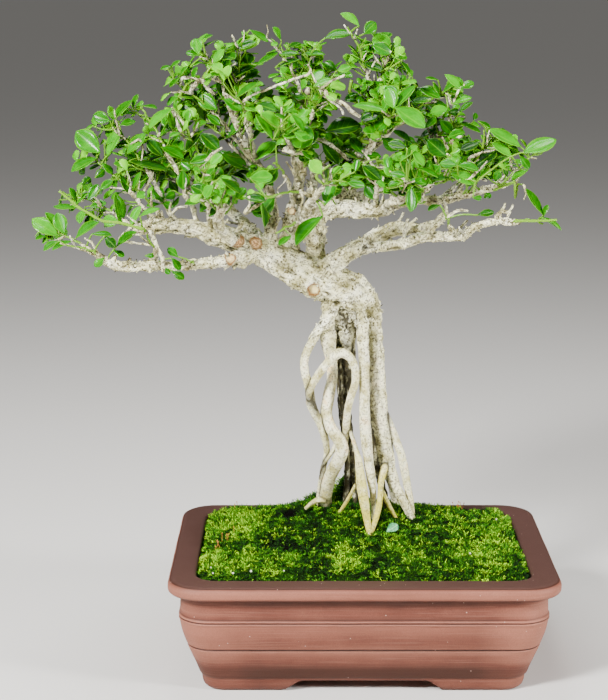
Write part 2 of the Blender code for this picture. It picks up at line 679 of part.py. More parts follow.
def make_spray(number, shoot, green, around):
    """Makes one leafy shoot: a square green stem with a pair of leaves at each joint.

    The leaves of a pair grow out of opposite faces of the stem, each pair a quarter turn from
    the next, and are drawn again where they would touch what is round them.
    """
    draw = random.Random(SHOOT_SEED + number)
    pairs, limb, station, tip = shoot
    place, turn, _ = twig_route(limb, station, tip)
    length = (place(1) - place(turn)).length
    half = JOINT_HEIGHT / 2 / length
    marks = [1 - half - PAIR_SPACING * k for k in reversed(range(pairs))]
    shares = [CLEARANCE / length] + [mark + side for mark in marks for side in (-half, half)]
    route = [place(turn + (1 - turn) * share) for share in shares]
    radii = [SHOOT_RADIUS * (1 - SHOOT_TAPER * share) for share in shares]
    rings = tube_rings(route, radii, 4)
    mesh_maker = bmesh.new()
    loops = [[mesh_maker.verts.new(point * MM) for point in ring] for ring in rings]
    mesh_maker.faces.new(reversed(loops[0]))
    mesh_maker.faces.new(loops[-1])
    own = Surroundings()
    for lower, upper in zip(rings, rings[1:]):
        own.add(lower + upper, [(j, (j + 1) % 4, (j + 1) % 4 + 4, j + 4) for j in range(4)])
    own.settle()
    for k in reversed(range(len(loops) - 1)):
        lower, upper = loops[k], loops[k + 1]
        along = (route[k + 1] - route[k]).normalized()
        for j in range(4):
            corners = [upper[j], upper[(j + 1) % 4], lower[j], lower[(j + 1) % 4]]
            spot = sum((corner.co for corner in corners), Vector()) / 4 / MM
            across = (spot - (route[k] + route[k + 1]) / 2).normalized()
            leaf = None
            if k % 2 and j % 2 == (k // 2 + number) % 2:
                size = TIP_PAIR_SIZE if k == len(loops) - 2 else 1.0
                leaf = leaf_with_room(draw, spot, across, along, size, (around, own))
            if leaf:
                own.add(*clearance_shell(spot, leaf))
                own.settle()
                side = leaf[0].cross(leaf[1])
                if (corners[0].co - corners[1].co).dot(side) < 0:
                    corners = [corners[1], corners[0], corners[3], corners[2]]
                add_blade(mesh_maker, corners, spot, leaf)
            else:
                mesh_maker.faces.new((corners[2], corners[3], corners[1], corners[0]))
    spray = finished("spray_" + str(number).zfill(2), mesh_maker, green)
    around.add_piece(spray)
    around.settle()
    return spray


def leaf_with_room(draw, spot, across, along, size, surroundings):
    """Draws a leaf until its clearance shell touches nothing, or gives None."""
    for attempt in range(LEAF_TRIES):
        leaf = draw_leaf(draw, spot, across, along, size * (1 - SMALLER_EACH_TRY * attempt))
        shell = clearance_shell(spot, leaf)
        if not any(nearby.touches(*shell) for nearby in surroundings):
            return leaf
    return None


def make_fallen_leaf(pale, moss):
    """Lays one shed leaf on the moss, level across the slope of the ground under it."""
    ground = BVHTree.FromPolygons([vert.co / MM for vert in moss.data.vertices],
                                  [tuple(polygon.vertices) for polygon in moss.data.polygons])

    def ground_under(point):
        return ground.ray_cast(point + UP * ABOVE_THE_GROUND, -UP)[0]

    root = FALLEN_LEAF_FOOT.copy()
    heights = [ground_under(root + FALLEN_LEAF_POINTS * reach)
               for reach in (0, FALLEN_LEAF_LENGTH)]
    direction = (heights[1] - heights[0]).normalized()
    side = direction.cross(UP).normalized()
    face = side.cross(direction)
    leaf = (direction, face, FALLEN_LEAF_LENGTH, FALLEN_LEAF_WIDTH, 0.0)
    root.z = heights[0].z
    over = [ground_under(point).z - point.z
            for point in [root] + outline_of(root, leaf, FALLEN_LEAF_MARGIN)]
    root.z += max(over) + CLEARANCE + LEAF_THICKNESS / 2
    side *= SHOOT_RADIUS
    rise = face * LEAF_THICKNESS / 2
    mesh_maker = bmesh.new()
    feet = [mesh_maker.verts.new((root + corner) * MM)
            for corner in (side + rise, rise - side, side - rise, -side - rise)]
    mesh_maker.faces.new((feet[0], feet[1], feet[3], feet[2]))
    add_blade(mesh_maker, feet, root, leaf)
    finished("fallen_leaf", mesh_maker, pale)


for old in list(bpy.data.objects):
    bpy.data.objects.remove(old)

clay = material("unglazed_clay", (0.27, 0.13, 0.10), 0.75)
plastic = material("black_plastic", (0.02, 0.02, 0.02), 0.5)
earth = material("soil", (0.05, 0.035, 0.025), 0.95)
moss_green = material("moss", (0.12, 0.26, 0.03), 0.95)
bark = material("bark", (0.60, 0.55, 0.42), 0.8)
leaf_green = material("leaf", (0.10, 0.32, 0.05), 0.4)
pale_green = material("shed_leaf", (0.45, 0.60, 0.35), 0.5)

make_pot(clay)
make_screens(plastic)
soil, moss = make_ground(earth, moss_green)
wood = make_wood(bark)
cut_root_holes(soil, moss)
surroundings = Surroundings()
surroundings.add_piece(wood)
surroundings.settle()
for number, shoot in enumerate(SHOOTS, start=1):
    make_spray(number, shoot, leaf_green, surroundings)
make_fallen_leaf(pale_green, moss)

frame = bpy.data.objects.new("plant_frame", None)
bpy.context.scene.collection.objects.link(frame)
frame.location = POT_FROM_MIDDLE * MM
for piece in bpy.data.objects:
    if piece.type == "MESH":
        piece.parent = frame
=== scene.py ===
"""Looks of a premna bonsai on exposed roots: bark, leaves and moss, in an unglazed clay pot.

Lengths are millimetres in the pot's own frame, with the origin on the ground under the middle
of the pot, X to the right, Y to the back and Z up.
"""

import math
import random

import bpy
import numpy as np
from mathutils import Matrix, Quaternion, Vector, noise
from mathutils.bvhtree import BVHTree


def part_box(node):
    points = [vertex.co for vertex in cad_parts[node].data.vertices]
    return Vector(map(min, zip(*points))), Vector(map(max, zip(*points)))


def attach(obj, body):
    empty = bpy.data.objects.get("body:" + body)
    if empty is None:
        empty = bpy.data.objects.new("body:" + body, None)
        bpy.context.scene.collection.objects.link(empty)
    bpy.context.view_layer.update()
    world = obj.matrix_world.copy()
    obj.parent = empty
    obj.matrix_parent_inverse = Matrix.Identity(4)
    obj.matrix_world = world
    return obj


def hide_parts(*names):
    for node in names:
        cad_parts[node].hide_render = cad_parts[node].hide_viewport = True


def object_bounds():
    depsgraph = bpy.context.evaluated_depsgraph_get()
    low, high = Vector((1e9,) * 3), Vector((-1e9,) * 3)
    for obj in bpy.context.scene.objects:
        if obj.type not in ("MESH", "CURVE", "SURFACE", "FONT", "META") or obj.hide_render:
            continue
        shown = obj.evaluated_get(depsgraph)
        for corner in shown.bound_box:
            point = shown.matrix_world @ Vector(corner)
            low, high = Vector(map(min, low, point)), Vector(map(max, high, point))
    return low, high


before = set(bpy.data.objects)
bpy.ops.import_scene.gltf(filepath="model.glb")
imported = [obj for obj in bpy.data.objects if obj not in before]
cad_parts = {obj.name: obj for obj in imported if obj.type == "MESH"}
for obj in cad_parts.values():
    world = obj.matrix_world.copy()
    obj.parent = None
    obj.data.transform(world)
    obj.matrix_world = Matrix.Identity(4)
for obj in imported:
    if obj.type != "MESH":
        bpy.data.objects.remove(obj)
cad_box = [list(corner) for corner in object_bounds()]

# The camera
# It stands 1.4 m in front of the pot, level with the top of the crown, and looks a little
# down. Whatever the photograph places is placed through its view.
MM = 0.001
POT_LOW, POT_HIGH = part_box("pot")
POT_MIDDLE = np.array(((POT_LOW.x + POT_HIGH.x) / 2, (POT_LOW.y + POT_HIGH.y) / 2, 0.0))
EYE = np.array((-46.8, -1422.7, 541.9))
LOOK_DOWN = math.radians(11.41)
LENS, FILM_HEIGHT = 92.95, 36.0


def put_in(name, data):
    """Adds an object with its data to the scene."""
    made = bpy.data.objects.new(name, data)
    bpy.context.scene.collection.objects.link(made)
    return made


camera = put_in("camera", bpy.data.cameras.new("camera"))
camera.data.lens = LENS
camera.data.sensor_fit = "VERTICAL"
camera.data.sensor_height = FILM_HEIGHT
camera.location = POT_MIDDLE + EYE * MM
camera.rotation_euler = (math.pi / 2 - LOOK_DOWN, 0.0, 0.0)
bpy.context.scene.camera = camera

# Studio light and floor
# A large soft light stands in front on the left, a weaker one on the right, and one hangs
# over the crown. The floor is a plain pale sheet that runs off into the distance.
LIGHTS = [
    ("front_light", (-950, -1150, 1150), 300, 84.0),
    ("right_light", (1300, -750, 650), 300, 40.0),
    ("top_light", (-150, 150, 1700), 500, 20.0),
]
LIT_HEIGHT = 250.0
# The light off the ceiling: its power, and how far it spreads, tips and turns in degrees
CEILING_POWER, CEILING_SPREAD, CEILING_TIP, CEILING_TURN = 0.6, 25, 38, -28
FLOOR_REACH = 90000.0


def linear(code):
    """Turns an sRGB hex colour into a linear one."""
    parts = [int(code[k:k + 2], 16) / 255 for k in (1, 3, 5)]
    return tuple(c / 12.92 if c <= 0.04045 else ((c + 0.055) / 1.055) ** 2.4
                 for c in parts) + (1.0,)


def feed(owner, node, inputs):
    """Sets a node's inputs from hex colours, values, sockets or other nodes' outputs."""
    for name, value in inputs.items():
        if isinstance(value, bpy.types.Node):
            value = next(output for output in value.outputs if output.enabled)
        if isinstance(value, bpy.types.NodeSocket):
            owner.node_tree.links.new(value, node.inputs[name])
        else:
            node.inputs[name].default_value = linear(value) if isinstance(value, str) else value


def coat(finish, sockets):
    """Sets the sockets of a material's Principled shader."""
    feed(finish, finish.node_tree.nodes["Principled BSDF"], sockets)


def finish_named(name, sockets):
    """Starts a material with its shader's constant settings."""
    finish = bpy.data.materials.new(name)
    finish.use_nodes = True
    coat(finish, sockets)
    return finish


def shape(name, points, faces, middle=0.0):
    """Makes a mesh from points in millimetres."""
    mesh = bpy.data.meshes.new(name)
    mesh.from_pydata((np.asarray(points) * MM + middle).tolist(), [], faces)
    return mesh


for name, stand, lamp_size, power in LIGHTS:
    lamp = put_in(name, bpy.data.lights.new(name, "AREA"))
    lamp.data.size = lamp_size * MM
    lamp.data.energy = power
    lamp.location = POT_MIDDLE + np.array(stand) * MM
    aim = Vector((0.0, 0.0, LIT_HEIGHT * MM)) + Vector(POT_MIDDLE) - lamp.location
    lamp.rotation_euler = aim.to_track_quat("-Z", "Y").to_euler()
ceiling = put_in("ceiling_light", bpy.data.lights.new("ceiling_light", "SUN"))
ceiling.data.energy = CEILING_POWER
ceiling.data.angle = math.radians(CEILING_SPREAD)
ceiling.rotation_euler = (math.radians(CEILING_TIP), 0.0, math.radians(CEILING_TURN))
world = bpy.data.worlds.new("studio")
world.use_nodes = True
feed(world, world.node_tree.nodes["Background"], {"Color": "#E4E4E0", "Strength": 0.09})
bpy.context.scene.world = world

# Matt paint spreads the light and mirrors nothing
floor_corners = np.array(((-1, -1, 0), (1, -1, 0), (1, 1, 0), (-1, 1, 0)))
floor = put_in("floor", shape("floor", floor_corners * FLOOR_REACH, [(0, 1, 2, 3)]))
floor.data.materials.append(
    finish_named("matt_floor_paint", {"Roughness": 0.9, "Base Color": "#D5D2CD"}))

# Pot
# One piece of red-brown stoneware, pressed in a mould and fired without glaze, so its surface
# is dry and gritty. Two raised lines and one scored line run round it by hand.
PHOTO_WIDTH, PHOTO_HEIGHT = 608, 700
FOCAL = LENS / FILM_HEIGHT * PHOTO_HEIGHT
AHEAD = np.array((0.0, math.cos(LOOK_DOWN), -math.sin(LOOK_DOWN)))
UPWARD = np.array((0.0, math.sin(LOOK_DOWN), math.cos(LOOK_DOWN)))
POT_LENGTH, POT_DEPTH = (POT_HIGH.x - POT_LOW.x) / MM, (POT_HIGH.y - POT_LOW.y) / MM
POT_HEIGHT = POT_HIGH.z / MM
RIM_CORNER = 28.0
CORNER_TIGHTENING = 0.45
CORNER_STEPS = 14
SIDE_STEPS = (36, 64, 36, 64)
PROFILE_STEP = 2.6
FOOT_HEIGHT = 9.0
FLOOR_TOP = 18.0
DRAIN_RADIUS, DRAIN_FROM_MIDDLE, DRAIN_SIDES = 11.0, 68.0, 32
# Profile of the wall as (inset from the rim's outer face, height, softness of the edge)
POT_PROFILE = [
    (47.0, FOOT_HEIGHT, 1.0), (47.0, 0.0, 1.2), (29.5, 0.0, 1.5), (26.2, 3.2, 3.0),
    (25.0, 11.2, 1.2), (23.6, 12.7, 2.0), (20.8, 21.0, 6.0), (17.2, 30.0, 6.0),
    (14.3, 37.5, 0.8), (15.3, 38.4, 0.5), (13.9, 39.3, 0.8), (10.3, 50.0, 6.0),
    (8.7, 59.5, 1.2), (7.9, 61.0, 0.6), (8.7, 62.1, 0.5), (7.9, 63.3, 0.6), (9.0, 64.8, 0.8),
    (9.4, 76.0, 4.0), (8.4, 80.6, 3.0), (1.9, 82.4, 1.4), (0.2, 84.2, 1.6), (0.0, 89.8, 2.4),
    (2.6, POT_HEIGHT, 2.4), (20.2, POT_HEIGHT, 1.6), (22.0, 91.4, 1.6), (20.4, 80.0, 4.0),
    (19.2, 60.0, 6.0), (24.0, 38.0, 6.0), (34.0, FLOOR_TOP, 2.0),
]
# Half widths of the arches between the feet, at their foot and at their top
LONG_ARCH, SHORT_ARCH = (62.0, 50.0), (40.0, 30.0)
ARCH_TOP = FOOT_HEIGHT + 0.5
# Painted light and painted shade on the wall by height: paler above nought, browner below, greyer
# at -3
PAINTED_LIGHT_AT = [
    (0.0, -0.4), (9.0, -0.3), (11.2, -0.5), (12.2, -1.2), (20.0, -1.05), (27.0, 0.0),
    (34.0, 0.3), (37.2, 0.75), (37.8, -1.3), (38.8, -1.3), (39.4, 0.3), (46.0, 0.2),
    (60.6, 0.5), (61.4, 0.5), (61.9, -1.3), (62.4, -1.3), (62.9, 0.7), (63.8, 0.5),
    (64.8, -0.9), (66.5, 0.1), (73.0, -0.2), (80.0, -0.8), (82.4, -0.5), (84.0, 0.6),
    (86.0, 0.9), (90.0, 0.8), (91.6, 0.2), (92.4, -3.0), (93.0, -3.0),
]
PALE_FROM, PALE_OVER, RIM_FOOT = 86, 45, 80


def seen_at(pixel, depth):
    """Gives the point with that Y which shows at a pixel of the photograph."""
    ray = AHEAD + UPWARD * (PHOTO_HEIGHT / 2 - pixel[1]) / FOCAL
    ray = ray + np.array((pixel[0] - PHOTO_WIDTH / 2, 0.0, 0.0)) / FOCAL
    return EYE + ray * (depth - EYE[1]) / ray[1]


def soft_profile(corners, step):
    """Rounds each corner of a profile and gives its points about a step apart."""
    points = [np.array(corners[0][:2])]
    for before, corner, after in zip(corners, corners[1:], corners[2:]):
        middle = np.array(corner[:2])
        arms = []
        for other in (before, after):
            arm = np.array(other[:2]) - middle
            length = np.linalg.norm(arm)
            arms.append(middle + arm / length * min(corner[2], 0.45 * length))
        for t in (0.0, 0.25, 0.5, 0.75, 1.0):
            points.append((1 - t) ** 2 * arms[0] + 2 * t * (1 - t) * middle + t * t * arms[1])
    points.append(np.array(corners[-1][:2]))
    spaced = [points[0]]
    for start, end in zip(points, points[1:]):
        count = max(1, round(float(np.linalg.norm(end - start)) / step))
        spaced += [start + (end - start) * k / count for k in range(1, count + 1)]
    return np.array(spaced)


def pot_ring(inset):
    """Gives the X and Y of the pot's rounded rectangle at one inset, anticlockwise."""
    half = np.array((POT_LENGTH / 2 - inset, POT_DEPTH / 2 - inset))
    radius = RIM_CORNER - CORNER_TIGHTENING * inset
    turns = [(1, -1), (1, 1), (-1, 1), (-1, -1)]
    ring = []
    for corner, (sign, steps) in enumerate(zip(turns, SIDE_STEPS)):
        middle = np.array(sign) * (half - radius)
        for k in range(CORNER_STEPS + 1):
            angle = math.pi / 2 * (corner - 1 + k / CORNER_STEPS)
            ring.append(middle + radius * np.array((math.cos(angle), math.sin(angle))))
        angle = math.pi / 2 * corner
        after = np.array(turns[(corner + 1) % 4]) * (half - radius)
        after = after + radius * np.array((math.cos(angle), math.sin(angle)))
        ring += [ring[-1] + (after - ring[-1]) * k / steps for k in range(1, steps)]
    return np.array(ring)


def waves(points, size, seed=0.0):
    """Gives smooth noise from -1 to 1 at each point, with lumps of one size."""
    shift = Vector((seed, 2 * seed, 3 * seed))
    return np.array([noise.noise(Vector(point) / size + shift) for point in points])


def shell_faces(rings, around):
    """Gives the faces between rings of points, each closed round, and over both ends."""
    sides = [(i * around + j, i * around + (j + 1) % around,
              (i + 1) * around + (j + 1) % around, (i + 1) * around + j)
             for i in range(rings - 1) for j in range(around)]
    last = (rings - 1) * around
    return sides + [tuple(reversed(range(around))), tuple(range(last, last + around))]


def mesh_piece(name, points, faces, finish, slot, replaced=(), **marks):
    """Makes a piece that rides on the plant, with marks at its points for the material."""
    piece = put_in(name, shape(name, points, faces, POT_MIDDLE))
    for mark, values in marks.items():
        values = np.asarray(values, np.float32)
        kind, field = ("FLOAT", "value") if values.ndim == 1 else ("FLOAT_VECTOR", "vector")
        piece.data.attributes.new(mark, kind, "POINT").data.foreach_set(field, values.ravel())
    piece.data.materials.append(finish)
    piece.data.shade_smooth()
    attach(piece, "root")
    if replaced:
        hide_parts(*replaced)
    return piece


def settled(piece):
    """Gives a piece's mesh with its modifiers applied."""
    return bpy.data.meshes.new_from_object(
        piece.evaluated_get(bpy.context.evaluated_depsgraph_get()))


def add_node(finish, kind, inputs=None, stops=(), **settings):
    """Adds a node with its own settings, its inputs and its ramp."""
    made = finish.node_tree.nodes.new("ShaderNode" + kind)
    for setting, value in settings.items():
        setattr(made, setting, value)
    feed(finish, made, inputs or {})
    if stops:
        ramp = made.color_ramp.elements
        while len(ramp) < len(stops):
            ramp.new(0.5)
        for element, (position, code) in zip(ramp, stops):
            element.position = position
            element.color = linear(code)
    return made


def tinted(finish, colour, layers):
    """Lays tints over a colour: driver, where it starts and is full, strength and tint."""
    for driver, start, full, strength, tint in layers:
        cover = add_node(finish, "MapRange", {
            "Value": driver, "From Min": start, "From Max": full, "To Max": strength})
        colour = add_node(finish, "Mix", {"Factor": cover, 6: colour, 7: tint},
                          data_type="RGBA")
    return colour


# Unglazed stoneware looks dry: a dull red-brown with soft patches from the flame, fine grit
# and scattered pale grains
PATCH_SIZE, GRIT_SIZE, SPECK_SIZE = 45.0, 0.9, 9.0
STREAK_LENGTH, STREAK_HEIGHT = 500 / 9, 10 / 9
stoneware = finish_named("unglazed_stoneware", {"Roughness": 0.62, "Specular IOR Level": 0.28})
place = add_node(stoneware, "TexCoord").outputs["Object"]
patches = add_node(stoneware, "TexNoise", {
    "Vector": place, "Scale": 1000 / PATCH_SIZE, "Detail": 5.0, "Roughness": 0.6})
body_colour = add_node(stoneware, "ValToRGB", {"Fac": patches}, stops=[
    (0.28, "#532A1E"), (0.46, "#5E3225"), (0.62, "#693B2D"), (0.78, "#764A3B")])
# The drag of the wooden tool leaves streaks a millimetre high and many long
streak_place = add_node(stoneware, "VectorMath", {
    0: place, 1: (1000 / STREAK_LENGTH, 1000 / STREAK_LENGTH, 1000 / STREAK_HEIGHT)},
    operation="MULTIPLY")
streaks = add_node(stoneware, "TexNoise", {
    "Vector": streak_place, "Scale": 1.0, "Detail": 3.0, "Roughness": 0.55})
worn = add_node(stoneware, "Attribute", attribute_name="worn").outputs["Fac"]
fired = add_node(stoneware, "Attribute", attribute_name="fired").outputs["Fac"]
# Streaks, rubbed edges with a painted highlight and painted shade in the hollows, then
# paler painted light, browner painted shade in the hollows and greyer painted shade atop the rim
fired_clay = tinted(stoneware, body_colour, [
    (streaks, 0.5, 0.8, 0.45, "#8B6153"), (worn, 0.05, 0.9, 0.28, "#9C7466"),
    (worn, -0.05, -0.7, 0.85, "#26100A"), (fired, 0.0, 1.0, 0.6, "#9C6450"),
    (fired, 0.0, -1.2, 0.95, "#34180C"), (fired, -2.2, -3.0, 0.85, "#48302A")])
grit = add_node(stoneware, "TexNoise", {
    "Vector": place, "Scale": 1000 / GRIT_SIZE, "Detail": 2.0, "Roughness": 0.7})
grit_shade = add_node(stoneware, "MapRange", {
    "Value": grit, "From Min": 0.3, "From Max": 0.7, "To Min": 0.88, "To Max": 1.12})
gritty = add_node(stoneware, "VectorMath", {0: fired_clay, "Scale": grit_shade},
                  operation="SCALE")
specks = add_node(stoneware, "TexVoronoi", {
    "Vector": place, "Scale": 1000 / SPECK_SIZE, "Randomness": 1.0})
relief = add_node(stoneware, "Math", {0: grit, 1: streaks}, operation="ADD")
coat(stoneware, {
    "Base Color": tinted(stoneware, gritty, [(specks, 0.055, 0.04, 0.5, "#CDB3A8")]),
    "Roughness": add_node(stoneware, "MapRange", {
        "Value": patches, "To Min": 0.54, "To Max": 0.72}),
    "Normal": add_node(stoneware, "Bump", {
        "Height": relief, "Strength": 0.35, "Distance": 0.0004})})

profile = soft_profile(POT_PROFILE, PROFILE_STEP)
pot_points = np.concatenate([
    np.insert(pot_ring(inset), 2, height, axis=1) for inset, height in profile])
around = len(pot_points) // len(profile)
insets = np.repeat(profile[:, 0], around)

# The lines on the wall waver a little up and down, and the wall is not quite true
LINES_HEIGHT, LINES_SPREAD, LINES_WAVER, WALL_WAVER = 52.0, 16.0, 0.35, 0.3
out = pot_points * (1, 1, 0)
out /= np.linalg.norm(out, axis=1)[:, None]
middle_band = np.exp(-((pot_points[:, 2] - LINES_HEIGHT) / LINES_SPREAD) ** 2)
pot_points[:, 2] += LINES_WAVER * middle_band * waves(pot_points * (1, 1, 0), 38.0, 4.0)
outer_wall = (insets < 30.0) & (pot_points[:, 2] > FOOT_HEIGHT)
pot_points += out * (WALL_WAVER * outer_wall * waves(pot_points, 34.0, 9.0))[:, None]

# A gouge under the right of the raised lines, and the faint ridge that runs on from it
GOUGE, GOUGE_SIZE, GOUGE_DEPTH = seen_at((438, 628.5), -107.0), (4.0, 0.9), 0.9
RIDGE, RIDGE_SIZE, RIDGE_DEPTH = seen_at((485, 634.5), -106.0), (36.0, 0.9), -0.25
front_wall = pot_points[:, 1] < -95.0
for spot, (half_width, half_height), push in ((GOUGE, GOUGE_SIZE, GOUGE_DEPTH),
                                              (RIDGE, RIDGE_SIZE, RIDGE_DEPTH)):
    near = np.exp(-((pot_points[:, 0] - spot[0]) / half_width) ** 4
                  - ((pot_points[:, 2] - spot[2]) / half_height) ** 2)
    pot_points[:, 1] += push * near * front_wall

# The arches between the feet
across_pot, deep_pot, high_pot = pot_points.T
rises = [np.clip((foot - abs(places)) / (foot - top), 0, 1)
         for places, (foot, top) in ((across_pot, LONG_ARCH), (deep_pot, SHORT_ARCH))]
rise = ARCH_TOP * np.maximum(*rises) ** 0.8
inner_side = np.repeat(np.arange(len(profile)) < 4, around) & (high_pot >= FOOT_HEIGHT)
arched = (high_pot < rise) & ~inner_side
high_pot[arched] = rise[arched]
high_pot[:] = np.maximum(high_pot, 0.0)

# Edges rubbed pale and given a painted highlight count above nought, painted shade in hollows below
steps = np.diff(profile, axis=0)
headings = np.unwrap(np.arctan2(steps[:, 1], steps[:, 0]))
bends = np.zeros(len(profile))
bends[1:-1] = np.diff(headings) / (0.5 * np.linalg.norm(steps[1:] + steps[:-1], axis=1))
bends = np.convolve(np.clip(bends, -1.5, 1.5), (0.25, 0.5, 0.25), mode="same")
worn_edges = np.repeat(-bends, around) * (0.8 + 0.5 * waves(pot_points, 9.0, 2.0))
foot_ends = np.exp(-((abs(across_pot) - 59.0) / 3.0) ** 2) * (high_pot < 8.0)
worn_edges += 1.1 * foot_ends * (waves(pot_points, 4.0, 6.0) > 0.15) * front_wall
fired_bands = np.interp(high_pot, *zip(*PAINTED_LIGHT_AT))
fired_bands += 0.3 * waves(pot_points * (0.25, 0.25, 1.6), 22.0, 14.0) * (high_pot < 90)
# The wall has paler painted light toward its ends, the right one most, and painted shade inside
for pale, places in ((0.6, abs(across_pot)), (0.4, across_pot)):
    fired_bands += pale * np.clip((places - PALE_FROM) / PALE_OVER, 0, 1) * (high_pot < RIM_FOOT)
fired_bands[(insets > 19.5) & (high_pot > 30)] = -3.0
pot = mesh_piece("clay_pot", pot_points, shell_faces(len(profile), around), stoneware,
                 "unglazed_clay", ["pot"], worn=worn_edges, fired=fired_bands)
for side in (-1, 1):
    drill_points = [(side * DRAIN_FROM_MIDDLE + DRAIN_RADIUS * math.cos(math.tau * k / DRAIN_SIDES),
                     DRAIN_RADIUS * math.sin(math.tau * k / DRAIN_SIDES), z)
                    for z in (FOOT_HEIGHT - 3, FLOOR_TOP + 3) for k in range(DRAIN_SIDES)]
    drill = put_in("drill", shape("drill", drill_points, shell_faces(2, DRAIN_SIDES),
                                  POT_MIDDLE))
    bore = pot.modifiers.new("drain", "BOOLEAN")
    bore.object = drill
    bored = settled(pot)
    pot.modifiers.clear()
    pot.data = bored
    bpy.data.objects.remove(drill)

# Drainage screens and soil
# The screens are moulded black polypropylene mesh, laid over the drains. The soil is a damp mix
# of baked clay grains and bark, packed round the roots and hidden under the moss.

# Moulded polypropylene has a low, waxy shine and a faint grain from the mould. Damp soil is
# dark, and its grains stand out in browns.
PLASTIC_GRAIN, SOIL_GRAIN = 0.8, 3.2
polypropylene = finish_named("moulded_polypropylene", {
    "Roughness": 0.42, "Base Color": "#1B1B1D"})
plastic_grain = add_node(polypropylene, "TexNoise", {
    "Vector": add_node(polypropylene, "TexCoord").outputs["Object"],
    "Scale": 1000 / PLASTIC_GRAIN, "Detail": 2.0})
coat(polypropylene, {"Normal": add_node(polypropylene, "Bump", {
    "Height": plastic_grain, "Strength": 0.2, "Distance": 0.0002})})

damp_soil = finish_named("damp_soil", {"Roughness": 0.85})
grains = add_node(damp_soil, "TexVoronoi", {
    "Vector": add_node(damp_soil, "TexCoord").outputs["Object"], "Scale": 1000 / SOIL_GRAIN})
coat(damp_soil, {
    "Base Color": add_node(damp_soil, "ValToRGB", {"Fac": grains.outputs["Color"]}, stops=[
        (0.15, "#1C140F"), (0.5, "#33241A"), (0.85, "#54402F")]),
    "Normal": add_node(damp_soil, "Bump", {
        "Height": grains, "Strength": 0.8, "Distance": 0.0015}, invert=True)})
for node, finish in (("drainage_screen_left", polypropylene),
                     ("drainage_screen_right", polypropylene), ("soil", damp_soil)):
    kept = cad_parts[node]
    kept.material_slots[0].link = "OBJECT"
    kept.material_slots[0].material = finish

# Roots, trunk and limbs
# One grown piece: roots that fused into a trunk, old grey bark on the trunk and limbs, and
# smooth skin on the roots, which were buried until the soil was washed away.

# Stations of (x, y, z, radius) for the roots' ends in the trunk and for the hidden back roots
HIDDEN_ROOTS = {
    "right_trunk": [(-10, 0, 304, 15), (3, 2, 295, 9.5), (10, 5, 278, 5.4)],
    "front_root": [(-4, 0, 296, 8), (-2, -5, 283, 5.2)],
    "left_loop": [(-24, -2, 294, 8), (-29, -6, 278, 5)],
    "winding_root": [(-20, 2, 292, 10)],
    "back_root": [
        (-12, 8, 296, 8), (-16, 15, 268, 5), (-16, 18, 236, 4), (-16, 19, 205, 3.4),
        (-12, 18, 178, 3.4), (-8, 22, 150, 3.2), (-5, 28, 122, 2.8), (-3, 34, 98, 2.3)],
    "back_right_root": [
        (4, 6, 272, 5), (8, 17, 240, 4.2), (12, 22, 205, 4), (20, 26, 170, 3.8),
        (26, 32, 138, 3.2), (31, 38, 104, 2.6)],
}
